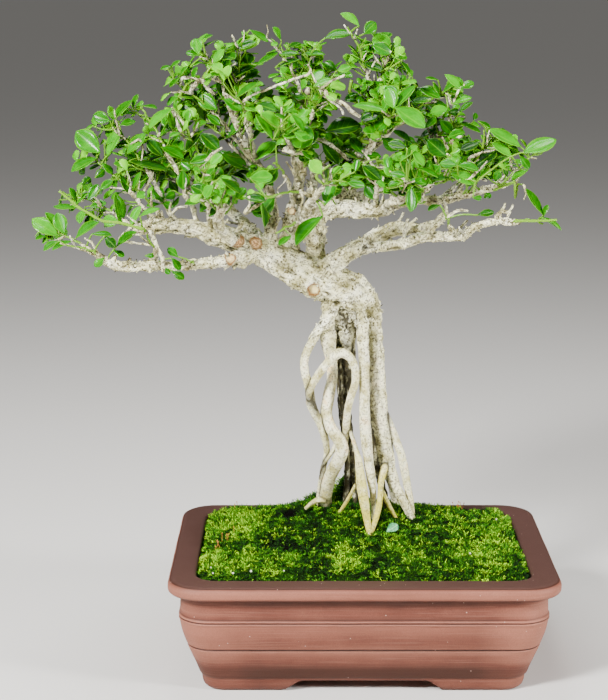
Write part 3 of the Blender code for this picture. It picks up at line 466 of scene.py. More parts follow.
# Roots traced on the photograph, as (pixel across, pixel down, y, radius). The two at the back
# don't show, and the two fillers are dark roots put in as painted shade between the trunks.
ROOTS_SEEN = {
    "right_trunk": [
        (374, 322, 5, 5.6), (376, 336, 6, 5.4), (377, 358, 7, 6.1), (378, 383, 8, 6.6),
        (379.5, 408, 8, 6.9), (382, 428, 9, 7.2), (385, 450, 10, 6.6), (388.5, 468, 10, 6.0),
        (393, 483, 10, 5.0), (399, 494, 9, 4.3), (406, 507, 9, 3.6), (412, 519, 8, 2.8)],
    "front_root": [
        (362, 322, -6, 5.4), (363, 340, -7, 5.0), (364, 358, -7, 4.3), (364, 391, -7, 4.0),
        (365, 425, -6, 4.5), (366.5, 442, -6, 4.3), (368.5, 459, -5, 4.0), (371, 476, -5, 3.8),
        (373, 492, -5, 2.9), (373.5, 507, -5, 2.1), (374, 520, -5, 1.6)],
    "left_loop": [
        (321, 326, -6, 3.9), (312, 341, -8, 3.5), (307, 351, -9, 3.3), (304, 361, -10, 3.2),
        (305, 373, -10, 3.2), (308, 383, -10, 3.5), (310, 395, -9, 3.7), (311.5, 405, -8, 3.8),
        (315.5, 414, -6, 3.7), (320, 422, -4, 3.5), (323.5, 432, -3, 3.3), (326, 442, -1, 3.0),
        (327, 452, 2, 2.5), (324.5, 464, 6, 2.2), (321, 480, 12, 2.0), (319, 494, 18, 1.8),
        (318, 507, 24, 1.4)],
    "winding_root": [
        (328, 322, 1, 5.8), (328, 338, -1, 6.2), (330, 351, 0, 5.1), (332, 365, 1, 4.2),
        (332, 378, 1, 4.2), (330, 390, 0, 4.6), (328, 402, -1, 4.9), (326.5, 413, -2, 5.0),
        (329, 424, -4, 5.0), (335, 434, -6, 5.1), (340.5, 443, -7, 5.2), (341.5, 451, -6, 5.3),
        (338, 461, -3, 5.1), (333, 470, 2, 5.0), (328.5, 481, 8, 4.9), (326, 493, 15, 4.9),
        (325.5, 503, 22, 4.8), (326, 514, 28, 3.8)],
    "winding_root_toe": [
        (325, 499, 15, 3.2), (318, 500, 14, 2.6), (312, 503, 14, 2.0), (305, 509, 13, 1.5)],
    "arch_root": [
        (319, 420, -5, 1.6), (314, 408, -8, 2.6), (309.5, 396, -10, 3.2), (311, 387, -12, 3.1),
        (318.5, 375, -13, 3.1), (328, 362.5, -14, 3.3), (335.5, 355.5, -15, 3.6),
        (342.5, 353, -15, 3.8), (349, 356.5, -14, 3.5), (353.5, 364, -13, 3.3),
        (355.5, 374, -12, 3.1), (355, 384, -12, 3.1), (351, 397, -11, 3.1),
        (348, 409, -9, 3.0), (346.5, 421, -5, 3.0), (346, 432, 2, 2.8), (345, 444, 8, 2.2)],
    "thin_link": [
        (337, 442, 0, 2.0), (333, 451, -1, 1.8), (327, 459, 2, 1.7), (322.5, 467, 7, 1.6),
        (321, 477, 11, 1.4)],
    "back_root": [],
    "back_right_root": [],
    "right_root": [
        (384, 414, 8, 4.0), (390, 427, 9, 3.7), (395, 439, 10, 3.4), (401, 454, 11, 3.3),
        (404.5, 470, 12, 3.3), (407, 484, 13, 3.1), (410, 500, 14, 2.7), (412, 512, 15, 2.2),
        (413, 520, 15, 1.8)],
    "pale_front_root": [
        (348, 426, 1, 1.5), (352.5, 438, -1, 1.6), (356, 449, -4, 1.8), (358.5, 460, -7, 2.8),
        (360, 472, -9, 3.5), (361.5, 485, -12, 4.1), (364, 500, -16, 4.0), (366.5, 515, -19, 3.2),
        (369, 530, -23, 2.3), (370.5, 542, -27, 1.6)],
    "crossing_root": [
        (389, 456, 9, 2.2), (384, 469, 4, 2.9), (381, 481, -2, 2.6), (380.5, 492, -7, 2.4),
        (379.5, 503, -11, 2.4), (377, 515, -15, 2.3), (372.5, 528, -21, 2.1),
        (370, 540, -26, 1.6)],
    "right_rootlet": [
        (381, 489, -5, 2.0), (386, 499, -3, 1.9), (391, 509, 0, 1.8), (397, 520, 4, 1.4)],
    "left_rootlet": [
        (356, 485, -11, 1.7), (351, 494, -6, 1.5), (345, 504, 0, 1.4), (339, 513, 6, 1.3),
        (335, 519, 10, 1.1)],
    "rough_core": [
        (341, 300, 3, 9), (345, 318, 3, 8.5), (347.5, 334, 4, 7.5), (348, 348, 7, 5.6),
        (348, 362, 11, 4.0), (349, 380, 14, 3.2), (348, 404, 16, 2.4)],
    "dark_strand_left": [
        (337, 346, 5, 2.6), (340, 366, 6, 2.2), (341.5, 384, 8, 2.0), (341, 402, 10, 1.9),
        (342, 420, 12, 1.9), (345, 440, 14, 2.2), (347, 462, 17, 2.4), (346, 490, 20, 2.4),
        (344, 516, 24, 1.6)],
    "dark_strand_right": [
        (353, 346, 7, 2.4), (353.5, 366, 10, 2.1), (350, 386, 12, 1.9), (348, 404, 13, 1.8),
        (350, 424, 14, 1.8), (352, 448, 16, 2.2), (354, 480, 20, 2.6), (355, 514, 24, 1.8)],
    "painted_shade_filler": [
        (371, 322, 12, 3.4), (370, 350, 13, 3.4), (371, 390, 14, 3.4), (373, 430, 15, 3.4),
        (377, 465, 16, 3.2), (384, 495, 17, 2.6), (389, 516, 18, 1.8)],
    "painted_shade_filler_left": [
        (339, 312, 9, 3.0), (338, 336, 9, 2.8), (342, 356, 12, 2.6), (345, 376, 15, 2.6),
        (346, 400, 17, 2.2), (346, 420, 18, 1.8)],
    "back_toe": [(368, 472, 12, 2.0), (370, 484, 16, 1.8), (374, 500, 20, 1.4)],
}
# Limbs, as stations of (x, y, z, radius)
LIMBS = {
    "main_limb": [
        (2, 2, 290, 12), (-6, 1, 299, 14.5), (-18, 0, 305, 15.5), (-33, 0, 310, 15),
        (-48, 0, 317, 13.5), (-61, 0, 324, 12), (-75, 0, 331, 10.5), (-88, -3, 338, 9)],
    "left_high": [
        (-80, -1, 333, 9.5), (-92, -4, 340, 9.5), (-106, -8, 346, 8.8), (-121, -12, 351, 7.6),
        (-136, -16, 356, 6), (-153, -20, 358, 5.6), (-168, -24, 357, 5.4),
        (-180, -26, 357, 3.6)],
    "left_low": [
        (-84, -4, 335, 7), (-100, -18, 331, 5), (-118, -28, 330, 4.2), (-143, -38, 329, 3.6),
        (-165, -46, 330, 3.4), (-188, -52, 331, 3.6), (-202, -56, 337, 2.6)],
    "leader": [
        (-28, 3, 312, 9), (-36, 6, 325, 7.8), (-37, 9, 340, 7), (-36, 12, 357, 6.2),
        (-32, 14, 371, 6)],
    "right_low": [
        (-34, -2, 316, 9), (-23, -8, 327, 7.4), (-12, -13, 335, 6.4), (0, -18, 342, 6),
        (13, -22, 351, 5.2), (25, -26, 356, 4.7), (39, -30, 357, 4.1), (52, -34, 359, 3.6),
        (64, -38, 370, 2.8)],
    "right_front": [
        (1, -19, 342, 5), (15, -30, 343, 3.9), (31, -40, 347, 3.8), (45, -48, 353, 4),
        (60, -54, 354, 3.4), (73, -58, 355, 3.4), (85, -60, 363, 2.8), (100, -62, 367, 2.4),
        (111, -64, 366, 2)],
    "right_mid": [
        (-33, 13, 364, 6.6), (-17, 10, 368, 7), (-1, 6, 367, 6.4), (15, 2, 368, 5.4),
        (28, -2, 373, 4), (41, -6, 376, 3.4), (60, -12, 377, 3.1), (75, -18, 381, 2.9),
        (93, -24, 386, 2.6), (108, -28, 390, 2.1)],
    "rising_left": [
        (-69, 4, 327, 7.5), (-74, 12, 345, 5.2), (-72, 18, 361, 4.2), (-74, 24, 378, 3.6),
        (-84, 24, 400, 3), (-96, 18, 424, 2.6), (-106, 10, 450, 2.2)],
    "rising_middle": [
        (-58, 6, 324, 8), (-58, 18, 345, 6.4), (-56, 26, 361, 5.4), (-52, 28, 380, 4.4),
        (-48, 20, 404, 3.6), (-47, 8, 430, 3), (-44, 0, 458, 2.2)],
    "rising_right": [
        (-22, 11, 368, 5.6), (-8, 12, 386, 4), (2, 9, 406, 3.4), (8, 3, 430, 2.8),
        (8, 0, 458, 2.2)],
    "back_left": [
        (-76, 4, 333, 6.5), (-88, 26, 346, 4.8), (-102, 52, 356, 4), (-122, 78, 367, 3.2),
        (-140, 98, 378, 2.4)],
    "back_middle": [
        (-38, 11, 350, 6), (-42, 36, 364, 4.6), (-40, 64, 377, 3.8), (-38, 92, 388, 3),
        (-40, 112, 397, 2.2)],
    "back_right": [
        (-24, 12, 367, 5.5), (-4, 32, 373, 4.4), (18, 54, 380, 3.6), (44, 76, 387, 3),
        (64, 90, 392, 2.2)],
    "front_left": [
        (-96, -6, 342, 6), (-108, -30, 354, 4.2), (-112, -56, 366, 3.4), (-108, -82, 380, 2.6)],
    "front_middle": [
        (-37, 4, 334, 6), (-42, -20, 350, 4.4), (-46, -46, 366, 3.6), (-42, -74, 382, 2.8),
        (-36, -94, 392, 2.2)],
    "front_right": [
        (16, 0, 368, 4.8), (26, -24, 378, 3.8), (36, -50, 388, 3.2), (46, -78, 394, 2.4)],
}
ROUTE_STEP = 1.3
VOXEL = 1.12
FATTER = 0.35
WOOD_SIDES, ROOT_SIDES = 16, 18
FUSED_ABOVE = 262.0
BATCH = 4000
# How smooth the roots' skin is, where it isn't wholly smooth
ROUGHER_ROOTS = {
    "right_trunk": 0.35, "winding_root": 0.9, "rough_core": 0.0, "back_root": 0.3,
    "back_right_root": 0.4, "front_root": 0.8, "dark_strand_left": 0.2,
    "dark_strand_right": 0.2, "left_loop": 0.75, "painted_shade_filler": 0.1, "painted_shade_filler_left": 0.0}
# Roots coloured dark as painted shade, in the hollow between and behind the trunks
PAINTED_SHADE_ROOTS = ("rough_core", "dark_strand_left", "dark_strand_right", "back_root",
              "painted_shade_filler", "painted_shade_filler_left", "back_toe")
YELLOW_ROOTS = ("pale_front_root", "crossing_root", "left_rootlet", "right_rootlet")
INNER_LIMBS = [name for name in LIMBS if name.startswith(("rising", "back", "front"))]
# Knobs and healed stubs that stand out of the trunk and limbs: middle, depth, radius, length
KNOBS = [
    ((300, 262), 0.0, 7.0, 5.0), ((256, 246), -6.0, 6.0, 7.0), ((243, 262), -4.0, 6.0, 5.0),
    ((214, 240), -8.0, 5.0, 6.0), ((350, 250), -12.0, 4.5, 5.0), ((340, 290), 2.0, 7.0, 6.0),
    ((322, 270), -6.0, 6.0, 5.0), ((372, 238), -22.0, 4.0, 5.0), ((190, 232), -14.0, 5.0, 5.0),
    ((165, 228), -20.0, 4.5, 4.0), ((150, 262), -40.0, 3.5, 4.0), ((320, 232), 2.0, 5.0, 5.0),
]
# Healed cuts on the side toward the camera: the middle in pixels, the radius in mm, how far
# the middle lies in, the rim's height and the redness
WOUNDS = [
    ((314, 289), 4.4, 0.5, 1.8, 0.05), ((239, 243), 4.2, 0.3, 1.0, 0.9),
    ((256, 243), 4.6, 0.3, 1.0, 0.9), ((230, 258), 4.0, 0.4, 0.9, 0.5),
    ((291, 211), 3.2, 1.2, 0.8, 0.2),
]
# Hollows there: the middle in pixels, the half sizes and the depth in mm
HOLLOWS = [
    ((345, 322), (5.0, 8.0), 2.2), ((337, 303), (3.0, 3.0), 1.4), ((326, 300), (2.5, 2.0), 0.8),
    ((355, 318), (1.6, 16.0), 1.6), ((334, 312), (5.0, 1.6), 1.4),
]
# The sheltered core between the trunks: middle and half size in pixels
SHELTERED, SHELTERED_HALF = (344.5, 322), (11.5, 20.0)


def smooth_route(stations, step):
    """Runs a smooth curve through rows of numbers and gives rows about a step apart."""
    rows = np.array(stations, float)
    rows = np.vstack((2 * rows[0] - rows[1], rows, 2 * rows[-1] - rows[-2]))
    smooth = []
    for a, b, c, d in zip(rows, rows[1:], rows[2:], rows[3:]):
        count = max(1, round(float(np.linalg.norm((c - b)[:3])) / step))
        for k in range(count):
            t = k / count
            smooth.append(0.5 * (2 * b + (c - a) * t + (2 * a - 5 * b + 4 * c - d) * t * t
                                 + (3 * b - a - 3 * c + d) * t ** 3))
    smooth.append(rows[-2])
    return np.array(smooth)


def run_of(route):
    """Gives the distance along a route at each of its points."""
    gaps = np.linalg.norm(np.diff(route[:, :3], axis=0), axis=1)
    return np.concatenate(([0.0], np.cumsum(gaps)))


def frames_along(centres):
    """Gives the heading and two cross directions at each point of a route."""
    heading = np.gradient(centres, axis=0)
    heading /= np.linalg.norm(heading, axis=1)[:, None]
    side = np.array(Vector(heading[0]).orthogonal().normalized())
    sides = []
    for ahead in heading:
        side = side - ahead * (side @ ahead)
        side = side / np.linalg.norm(side)
        sides.append(side)
    sides = np.array(sides)
    return heading, sides, np.cross(heading, sides)


def tube(route, sides):
    """Gives the points and faces of a closed tube along rows of (x, y, z, radius)."""
    route = np.asarray(route, float)
    _, across, up = frames_along(route[:, :3])
    angles = math.tau * np.arange(sides) / sides
    rings = (route[:, None, :3] + route[:, 3, None, None]
             * (np.cos(angles)[None, :, None] * across[:, None]
                + np.sin(angles)[None, :, None] * up[:, None]))
    return rings.reshape(-1, 3), shell_faces(len(route), sides)


def stations_on(start, direction, rows):
    """Gives stations at shares of a direction from a start, each with its radius."""
    return [(*(start + np.multiply(direction, share)), radius) for share, radius in rows]


def joined(parts):
    """Puts the points and faces of several parts together."""
    points, faces, start = [], [], 0
    for part_points, part_faces in parts:
        points.append(part_points)
        faces += [tuple(k + start for k in face) for face in part_faces]
        start += len(part_points)
    return np.concatenate(points), faces


def pixels_of(points):
    """Gives the pixels of the photograph at which points show."""
    away = np.asarray(points, float) - EYE
    depth = away @ AHEAD
    return np.stack((PHOTO_WIDTH / 2 + FOCAL * away[..., 0] / depth,
                     PHOTO_HEIGHT / 2 - FOCAL * (away @ UPWARD) / depth), axis=-1)


def patchy(level, swing, points, size, seed):
    """Gives noise from 0 to 1 about a level."""
    return np.clip(level + swing * waves(points, size, seed), 0, 1)


ROOTS = {name: HIDDEN_ROOTS.get(name, []) + [(*seen_at(row[:2], row[2]), row[3]) for row in rows]
         for name, rows in ROOTS_SEEN.items()}
routes = {name: smooth_route(stations, ROUTE_STEP) for name, stations in (ROOTS | LIMBS).items()}
names = list(routes)

lumps = []
for pixel, depth, radius, length in KNOBS:
    rows = ((0, 0.3 * radius), (0.3, radius), (1, 1.1 * radius), (1.8, 0.6 * radius))
    lumps.append(tube(stations_on(seen_at(pixel, depth - length / 2), (0, length, 0), rows), 10))
# Burrs, where older twigs were cut flush, along every limb
dice = random.Random(31)
for name in LIMBS:
    route = routes[name]
    _, one, other = frames_along(route[:, :3])
    at = 6.0
    while at < ROUTE_STEP * (len(route) - 3):
        k = int(at / ROUTE_STEP)
        angle, thick = dice.uniform(0, math.tau), route[k, 3]
        outward = math.cos(angle) * one[k] + math.sin(angle) * other[k]
        burr = max(1.3, thick * dice.uniform(0.34, 0.55))
        lumps.append(tube(stations_on(route[k, :3] + outward * (thick * 0.72), outward * burr, (
            (-1, burr), (0, burr * 1.05), (0.75, burr * 0.45))), 9))
        at += dice.uniform(2.5, 7.0) + thick * 0.35

tubes = []
for name, route in routes.items():
    if name in ROOTS:
        route = route[route[:, 2] > FUSED_ABOVE]
        route[:, 3] *= 0.72 + 0.28 * np.clip((route[:, 2] - FUSED_ABOVE) / 16, 0, 1)
    if len(route) > 2:
        tubes.append(tube(route + (0, 0, 0, FATTER), WOOD_SIDES))
rough_wood = put_in("rough_wood", shape("rough_wood", *joined(tubes + lumps)))
fuse = rough_wood.modifiers.new("fuse", "REMESH")
fuse.mode = "VOXEL"
fuse.voxel_size = VOXEL * MM
blend = rough_wood.modifiers.new("blend", "SMOOTH")
blend.factor = 0.5
blend.iterations = 3
fused = settled(rough_wood)
bpy.data.objects.remove(rough_wood)
count = len(fused.vertices)
limb_surface, limb_normals = np.empty((2, 3 * count), np.float32)
fused.vertices.foreach_get("co", limb_surface)
fused.vertex_normals.foreach_get("vector", limb_normals)
limb_surface = limb_surface.reshape(-1, 3).astype(float) / MM
limb_normals = limb_normals.reshape(-1, 3).astype(float)
limb_faces = [tuple(polygon.vertices) for polygon in fused.polygons]

# Samples of the routes: place, radius, run, two cross directions, smoothness, shift and number
samples, root_tubes, root_nearest, root_normals = [], [], [], []
sample_start = 0
for number, (name, route) in enumerate(routes.items()):
    if name in ROOTS:
        free = np.flatnonzero(route[:, 2] < FUSED_ABOVE + 22)
        slim = route[free]
        slim[:, 3] *= 1 - 0.35 * np.clip((slim[:, 2] - FUSED_ABOVE - 6) / 16, 0, 1)
        root_tubes.append(tube(slim, ROOT_SIDES))
        root_nearest.append(np.repeat(sample_start + free, ROOT_SIDES))
        root_normals.append((root_tubes[-1][0] - np.repeat(slim[:, :3], ROOT_SIDES, 0))
                            / np.repeat(slim[:, 3:], ROOT_SIDES, 0))
    smoothness = ROUGHER_ROOTS.get(name, 1.0) if name in ROOTS else 0.0
    samples.append(np.column_stack((
        route, run_of(route), *frames_along(route[:, :3])[1:],
        np.tile((smoothness, 31.0 * number, number), (len(route), 1)))))
    sample_start += len(route)
samples = np.concatenate(samples)
centres, reach, kind = samples[:, :3].copy(), samples[:, 3].copy(), samples[:, 13]
root_points, root_faces = joined(root_tubes)
surface = np.concatenate((limb_surface, root_points))
normals = np.concatenate((limb_normals, *root_normals))


def distances(points, start):
    """Gives how far a batch of the points lie outside each sample of the routes."""
    some = points[start:start + BATCH]
    apart = (some ** 2).sum(1)[:, None] - 2 * some @ centres.T + (centres ** 2).sum(1)[None]
    return np.sqrt(np.maximum(apart, 0)) - reach[None]


nearest = np.concatenate([distances(limb_surface, start).argmin(1)
                          for start in range(0, count, BATCH)] + root_nearest)
is_root = np.arange(len(surface)) >= count
_, _, _, reach_there, run, *_, skin, shift, kind_there = samples[nearest].T
across, up = samples[nearest, 5:8], samples[nearest, 8:11]
outward = surface - centres[nearest]
round_x, round_y = (outward * across).sum(1), (outward * up).sum(1)
off_centre = np.maximum(np.hypot(round_x, round_y), 0.3)
cos_round, sin_round = round_x / off_centre, round_y / off_centre
radius = np.minimum(reach_there, 14.0)
run = run + shift
smoothness = np.clip(skin - 0.9 * np.clip((surface[:, 2] - 246) / 24, 0, 1), 0, 1)
roughness = 1 - smoothness


def round_waves(turn_size, runs, size, seed=0.0):
    """Gives noise by the turn round the wood and the run along it."""
    return waves(np.stack((turn_size * cos_round, turn_size * sin_round, runs), 1), size, seed)


def belongs_to(kinds):
    """Says which points lie on roots or limbs of those names."""
    return np.isin(kind_there, [names.index(name) for name in kinds])


flutes = round_waves(1.5, run / 42, 1.0)
lobes = round_waves(radius, run * 0.6, 6.0, 3.0)
cords = round_waves(radius, run / 7, 2.6, 5.0)
scales = round_waves(radius, run / 2.2, 2.6, 8.0)
pits = round_waves(radius, run / 1.4, 1.6, 11.0)
cracks = 1 - np.minimum(abs(cords) / 0.16, 1)
flaking = patchy(0.45, 1.0, surface, 16.0, 2.0) * roughness
push = (0.16 * radius * flutes + 0.11 * radius * lobes * (0.6 + 0.4 * roughness)
        + 0.12 * radius * cords * (0.5 + 0.5 * roughness)
        + 1.2 * scales * roughness + 0.75 * pits * (0.2 + 0.8 * flaking)
        - 0.5 * cracks * (0.15 + 0.85 * roughness) * np.minimum(radius / 6, 1))
# Painted shade, with some dirt, darkens the cracks, scales, pits and flutes
dirt_and_shade = np.clip(0.5 * cracks * (0.1 + 0.7 * roughness)
                  + 1.3 * np.clip(-scales - 0.12, 0, 1) * roughness
                  + 1.3 * np.clip(-pits - 0.12, 0, 1) * (0.25 + 0.75 * flaking)
                  + 0.7 * np.clip(-flutes - 0.25, 0, 1), 0, 1)

# A painted contact shadow, with dirt, darkens where a root lies against another
touching = np.zeros(len(root_points))
for start in range(0, len(root_points), BATCH):
    apart = distances(root_points, start)
    apart[kind[None, :] == kind_there[count:][start:start + BATCH, None]] = 99.0
    touching[start:start + BATCH] = apart.min(1)
contact_shade = (np.clip(1 - touching / 2.2, 0, 1)
          * np.clip((FUSED_ABOVE - 4 - root_points[:, 2]) / 12, 0, 1)
          * np.clip((root_points[:, 2] - 112) / 20, 0.35, 1))
dirt_and_shade[count:] = np.maximum(dirt_and_shade[count:], 0.95 * contact_shade)

# Painted shade with dirt and black lichen darkens the sheltered core between the trunks, in flecks
from_core = abs(pixels_of(surface) - SHELTERED) / SHELTERED_HALF
sheltered = np.exp(-(from_core ** 4).sum(1)) * (surface[:, 1] > -8)
push += 1.6 * sheltered * pits
# Painted shade darkens the sides and backs of the roots, and dark flecks are thickest on the
# left of the right trunk
painted_side_shade = is_root * np.clip((normals[:, 1] + 0.5) / 0.6, 0, 1)
leftward = belongs_to(["right_trunk"]) * np.clip(0.1 - normals[:, 0], 0, 0.8)
painted_shade_flecks = np.clip(0.95 + 0.9 * waves(surface * (1, 1, 0.35), 2.2, 15.0), 0.4, 1)
for dark_layer in (sheltered * patchy(0.58, 3.4, surface, 2.0, 5.0),
              belongs_to(PAINTED_SHADE_ROOTS) * (1 - 0.9 * sheltered) * painted_shade_flecks,
              painted_side_shade * patchy(0.34, 0.7, surface, 3.2, 23.0),
              leftward * patchy(0.35, 1.5, surface, 1.8, 27.0)):
    dirt_and_shade = np.maximum(dirt_and_shade, dark_layer)

fused_tree = BVHTree.FromPolygons(surface.tolist(), limb_faces + [
    tuple(k + count for k in face) for face in root_faces])


def wood_at(pixel):
    """Gives the points' offsets from the wood that shows at a pixel, and its normal."""
    ray = Vector(seen_at(pixel, 0.0) - EYE).normalized()
    hit, normal, _, _ = fused_tree.ray_cast(Vector(EYE), ray)
    return surface - np.array(hit), np.array(normal)


healed, ring_mark, red_mark = np.zeros((3, len(surface)))
for pixel, cut_radius, depth, rim, redness in WOUNDS:
    away, normal = wood_at(pixel)
    high = away @ normal
    flat = np.linalg.norm(away - high[:, None] * normal, axis=1) / cut_radius
    near = (abs(high) < 1.6 * cut_radius) & (normals @ normal > 0.1)
    inside = near * np.clip((1.0 - flat) / 0.25, 0, 1)
    rolled = near * np.exp(-((flat - 1.2) / 0.3) ** 2)
    push = push * (1 - 0.8 * inside) - depth * inside + rim * rolled
    dirt_and_shade *= 1 - inside
    healed = np.maximum(healed, inside)
    ring_mark = np.maximum(ring_mark, near * np.exp(-((flat - 1.0) / 0.22) ** 2))
    red_mark = np.maximum(red_mark, redness * inside)
# Hollows pressed into the wood, with painted shade in them
for pixel, spread, depth in HOLLOWS:
    away, _ = wood_at(pixel)
    near = np.exp(-(away[:, 0] / spread[0]) ** 2 - (away[:, 2] / spread[1]) ** 2)
    near *= (abs(away[:, 1]) < 12) * np.clip(-normals[:, 1] * 2, 0, 1)
    push -= depth * near
    dirt_and_shade = np.maximum(dirt_and_shade, 0.9 * near)

# Painted shade makes the wood inside the crown greyer than the limbs that stand in the light
painted_crown_shade = belongs_to(INNER_LIMBS) * np.clip((surface[:, 2] - 330) / 40, 0, 1)
dirt_and_shade = np.maximum(dirt_and_shade, painted_crown_shade * patchy(0.42, 0.6, surface, 3.6, 19.0))
surface += normals * push[:, None]
# The lowest roots are yellowish, and the young ones most of all
low_roots = np.clip((170 - surface[:, 2]) / 60, 0, 1) * smoothness
yellow = np.clip(0.4 * low_roots + 0.85 * belongs_to(YELLOW_ROOTS)
                 * np.clip((186 - surface[:, 2]) / 30, 0, 1)
                 * patchy(0.8, 0.7, surface, 7.0, 8.0), 0, 1)
grain = np.stack((radius * cos_round + shift, radius * sin_round, run), 1)
state = np.stack((dirt_and_shade, smoothness, yellow), 1)
wound = np.stack((healed, ring_mark, red_mark), 1)

# Old bark is chalky and dull, in cream and grey with dark flecks, and the skin of the roots is
# smoother and warmer. A cut shows bare wood. The real specks are under a millimetre: they are
# drawn coarser, so that they show.
BARK_PATCH, GRAIN_WIDTH, GRAIN_RUN, SPECK, DARK_DOT = 13.0, 1.5, 9.0, 2.4, 1.7
bark = finish_named("bark_and_root_skin", {"Roughness": 0.78, "Specular IOR Level": 0.15})
place = add_node(bark, "TexCoord").outputs["Object"]
grain_mark = add_node(bark, "Attribute", attribute_name="grain").outputs["Vector"]
dirt_and_shade_share, skin_share, yellowness = add_node(bark, "SeparateXYZ", {
    "Vector": add_node(bark, "Attribute", attribute_name="state").outputs["Vector"]}).outputs
cut_share, ring_share, redness = add_node(bark, "SeparateXYZ", {
    "Vector": add_node(bark, "Attribute", attribute_name="wound").outputs["Vector"]}).outputs
patch = add_node(bark, "TexNoise", {
    "Vector": place, "Scale": 1000 / BARK_PATCH, "Detail": 5.0, "Roughness": 0.62})
old_bark = add_node(bark, "ValToRGB", {"Fac": patch}, stops=[
    (0.28, "#726C3E"), (0.40, "#BAB482"), (0.52, "#EEEABC"), (0.66, "#FDFBDC")])
skin_colour = add_node(bark, "ValToRGB", {"Fac": patch}, stops=[
    (0.30, "#A89C62"), (0.42, "#D6CF98"), (0.54, "#FAF7D4"), (0.66, "#EED49A")])
by_skin = add_node(bark, "Mix", {"Factor": skin_share, 6: old_bark, 7: skin_colour},
                   data_type="RGBA")
yellowed = add_node(bark, "Mix", {"Factor": yellowness, 6: by_skin, 7: "#CBC050"},
                    data_type="RGBA")
grain_place = add_node(bark, "VectorMath", {
    0: grain_mark, 1: (1 / GRAIN_WIDTH, 1 / GRAIN_WIDTH, 1 / GRAIN_RUN)}, operation="MULTIPLY")
fibres = add_node(bark, "TexNoise", {
    "Vector": grain_place, "Scale": 1.0, "Detail": 4.0, "Roughness": 0.65})
lichen = add_node(bark, "TexNoise", {
    "Vector": place, "Scale": 1000 / SPECK, "Detail": 3.0, "Roughness": 0.7})
lichen_reach = add_node(bark, "MapRange", {"Value": dirt_and_shade_share, "To Min": 0.55, "To Max": 0.15})
dot = add_node(bark, "TexNoise", {
    "Vector": place, "Scale": 1000 / DARK_DOT, "Detail": 2.0, "Roughness": 0.6})
dot_reach = add_node(bark, "MapRange", {"Value": skin_share, "To Min": 0.9, "To Max": 0.5})
# Dark lines between the fibres, dirt with painted shade, black dots and spots of white lichen
speckled_bark = tinted(bark, yellowed, [
    (fibres, 0.44, 0.30, 0.5, "#5F5437"), (dirt_and_shade_share, 0.2, 0.9, 0.95, "#1E180B"),
    (dot, 0.47, 0.39, dot_reach, "#433A20"), (lichen, 0.60, 0.68, lichen_reach, "#FDFBF0")])
cracked = add_node(bark, "ValToRGB", {"Fac": dot}, stops=[
    (0.40, "#43230F"), (0.50, "#8A5632"), (0.60, "#D3A878")])
heartwood = add_node(bark, "Mix", {"Factor": redness, 6: "#FFEBA4", 7: cracked},
                     data_type="RGBA")
with_cut = add_node(bark, "Mix", {"Factor": cut_share, 6: speckled_bark, 7: heartwood},
                    data_type="RGBA")
bark_relief = add_node(bark, "Math", {0: fibres, 1: lichen}, operation="ADD")
coat(bark, {
    "Base Color": add_node(bark, "Mix", {"Factor": ring_share, 6: with_cut, 7: "#6E4210"},
                           data_type="RGBA"),
    "Normal": add_node(bark, "Bump", {
        "Height": bark_relief, "Strength": 0.8, "Distance": 0.0008})})
for name, faces, part in (("trunk_and_limbs", limb_faces, ~is_root),
                          ("exposed_roots", root_faces, is_root)):
    mesh_piece(name, surface[part], faces, bark, "bark", ["trunk_roots_and_branches"],
               grain=grain[part], state=state[part], wound=wound[part])

# Moss
# A living carpet of pleurocarpous moss that covers the soil up to the wall. Its shoots stand up
# in tufts of needle-like leaves, bright at the tips, and thin away to black soil in places.
MOSS_INSET, WALL_INSET, SHOOT_INSET = 22.4, 22.0, 21.2
WALL_LEVEL, SHOULDER_RISE, SHOULDER_REACH = 87.6, 8.0, 8.0
MOUND_RISE, MOUND_MIDDLE, MOUND_SPREAD = 23.0, (-5.0, 22.0), (62.0, 42.0)
# Heaps behind the roots: middle, spread and height
HEAPS = [((-12, 34), (8.0, 9.0), 22.0), ((-33, 40), (20.0, 16.0), 8.0)]
MOSS_THICKNESS = 4.0
UNDER_RINGS, MOSS_RINGS = (0.2, 0.6, 1.0), 64
TUFTS, CLUMP, SPIKES = 12500, 4, 5
# Patches seen in the photograph: middle, half sizes in pixels, and how bright or bare
MOSS_PATCHES = [
    ((240, 525), (36, 15), 0.9), ((232, 562), (38, 12), 1.0), ((347, 562), (15, 14), 0.7),
    ((478, 548), (28, 22), 0.8), ((502, 516), (9, 8), 0.8), ((420, 560), (24, 12), 0.35),
    ((285, 532), (17, 13), -0.6), ((290, 515), (11, 5), -1.3), ((281, 545), (15, 7), -1.3),
    ((380, 565), (16, 10), -0.5), ((466, 510), (7, 6), -1.0), ((315, 560), (14, 14), -0.4),
    ((440, 530), (16, 14), 0.1), ((400, 548), (20, 10), 0.3), ((205, 545), (8, 22), 0.3),
]


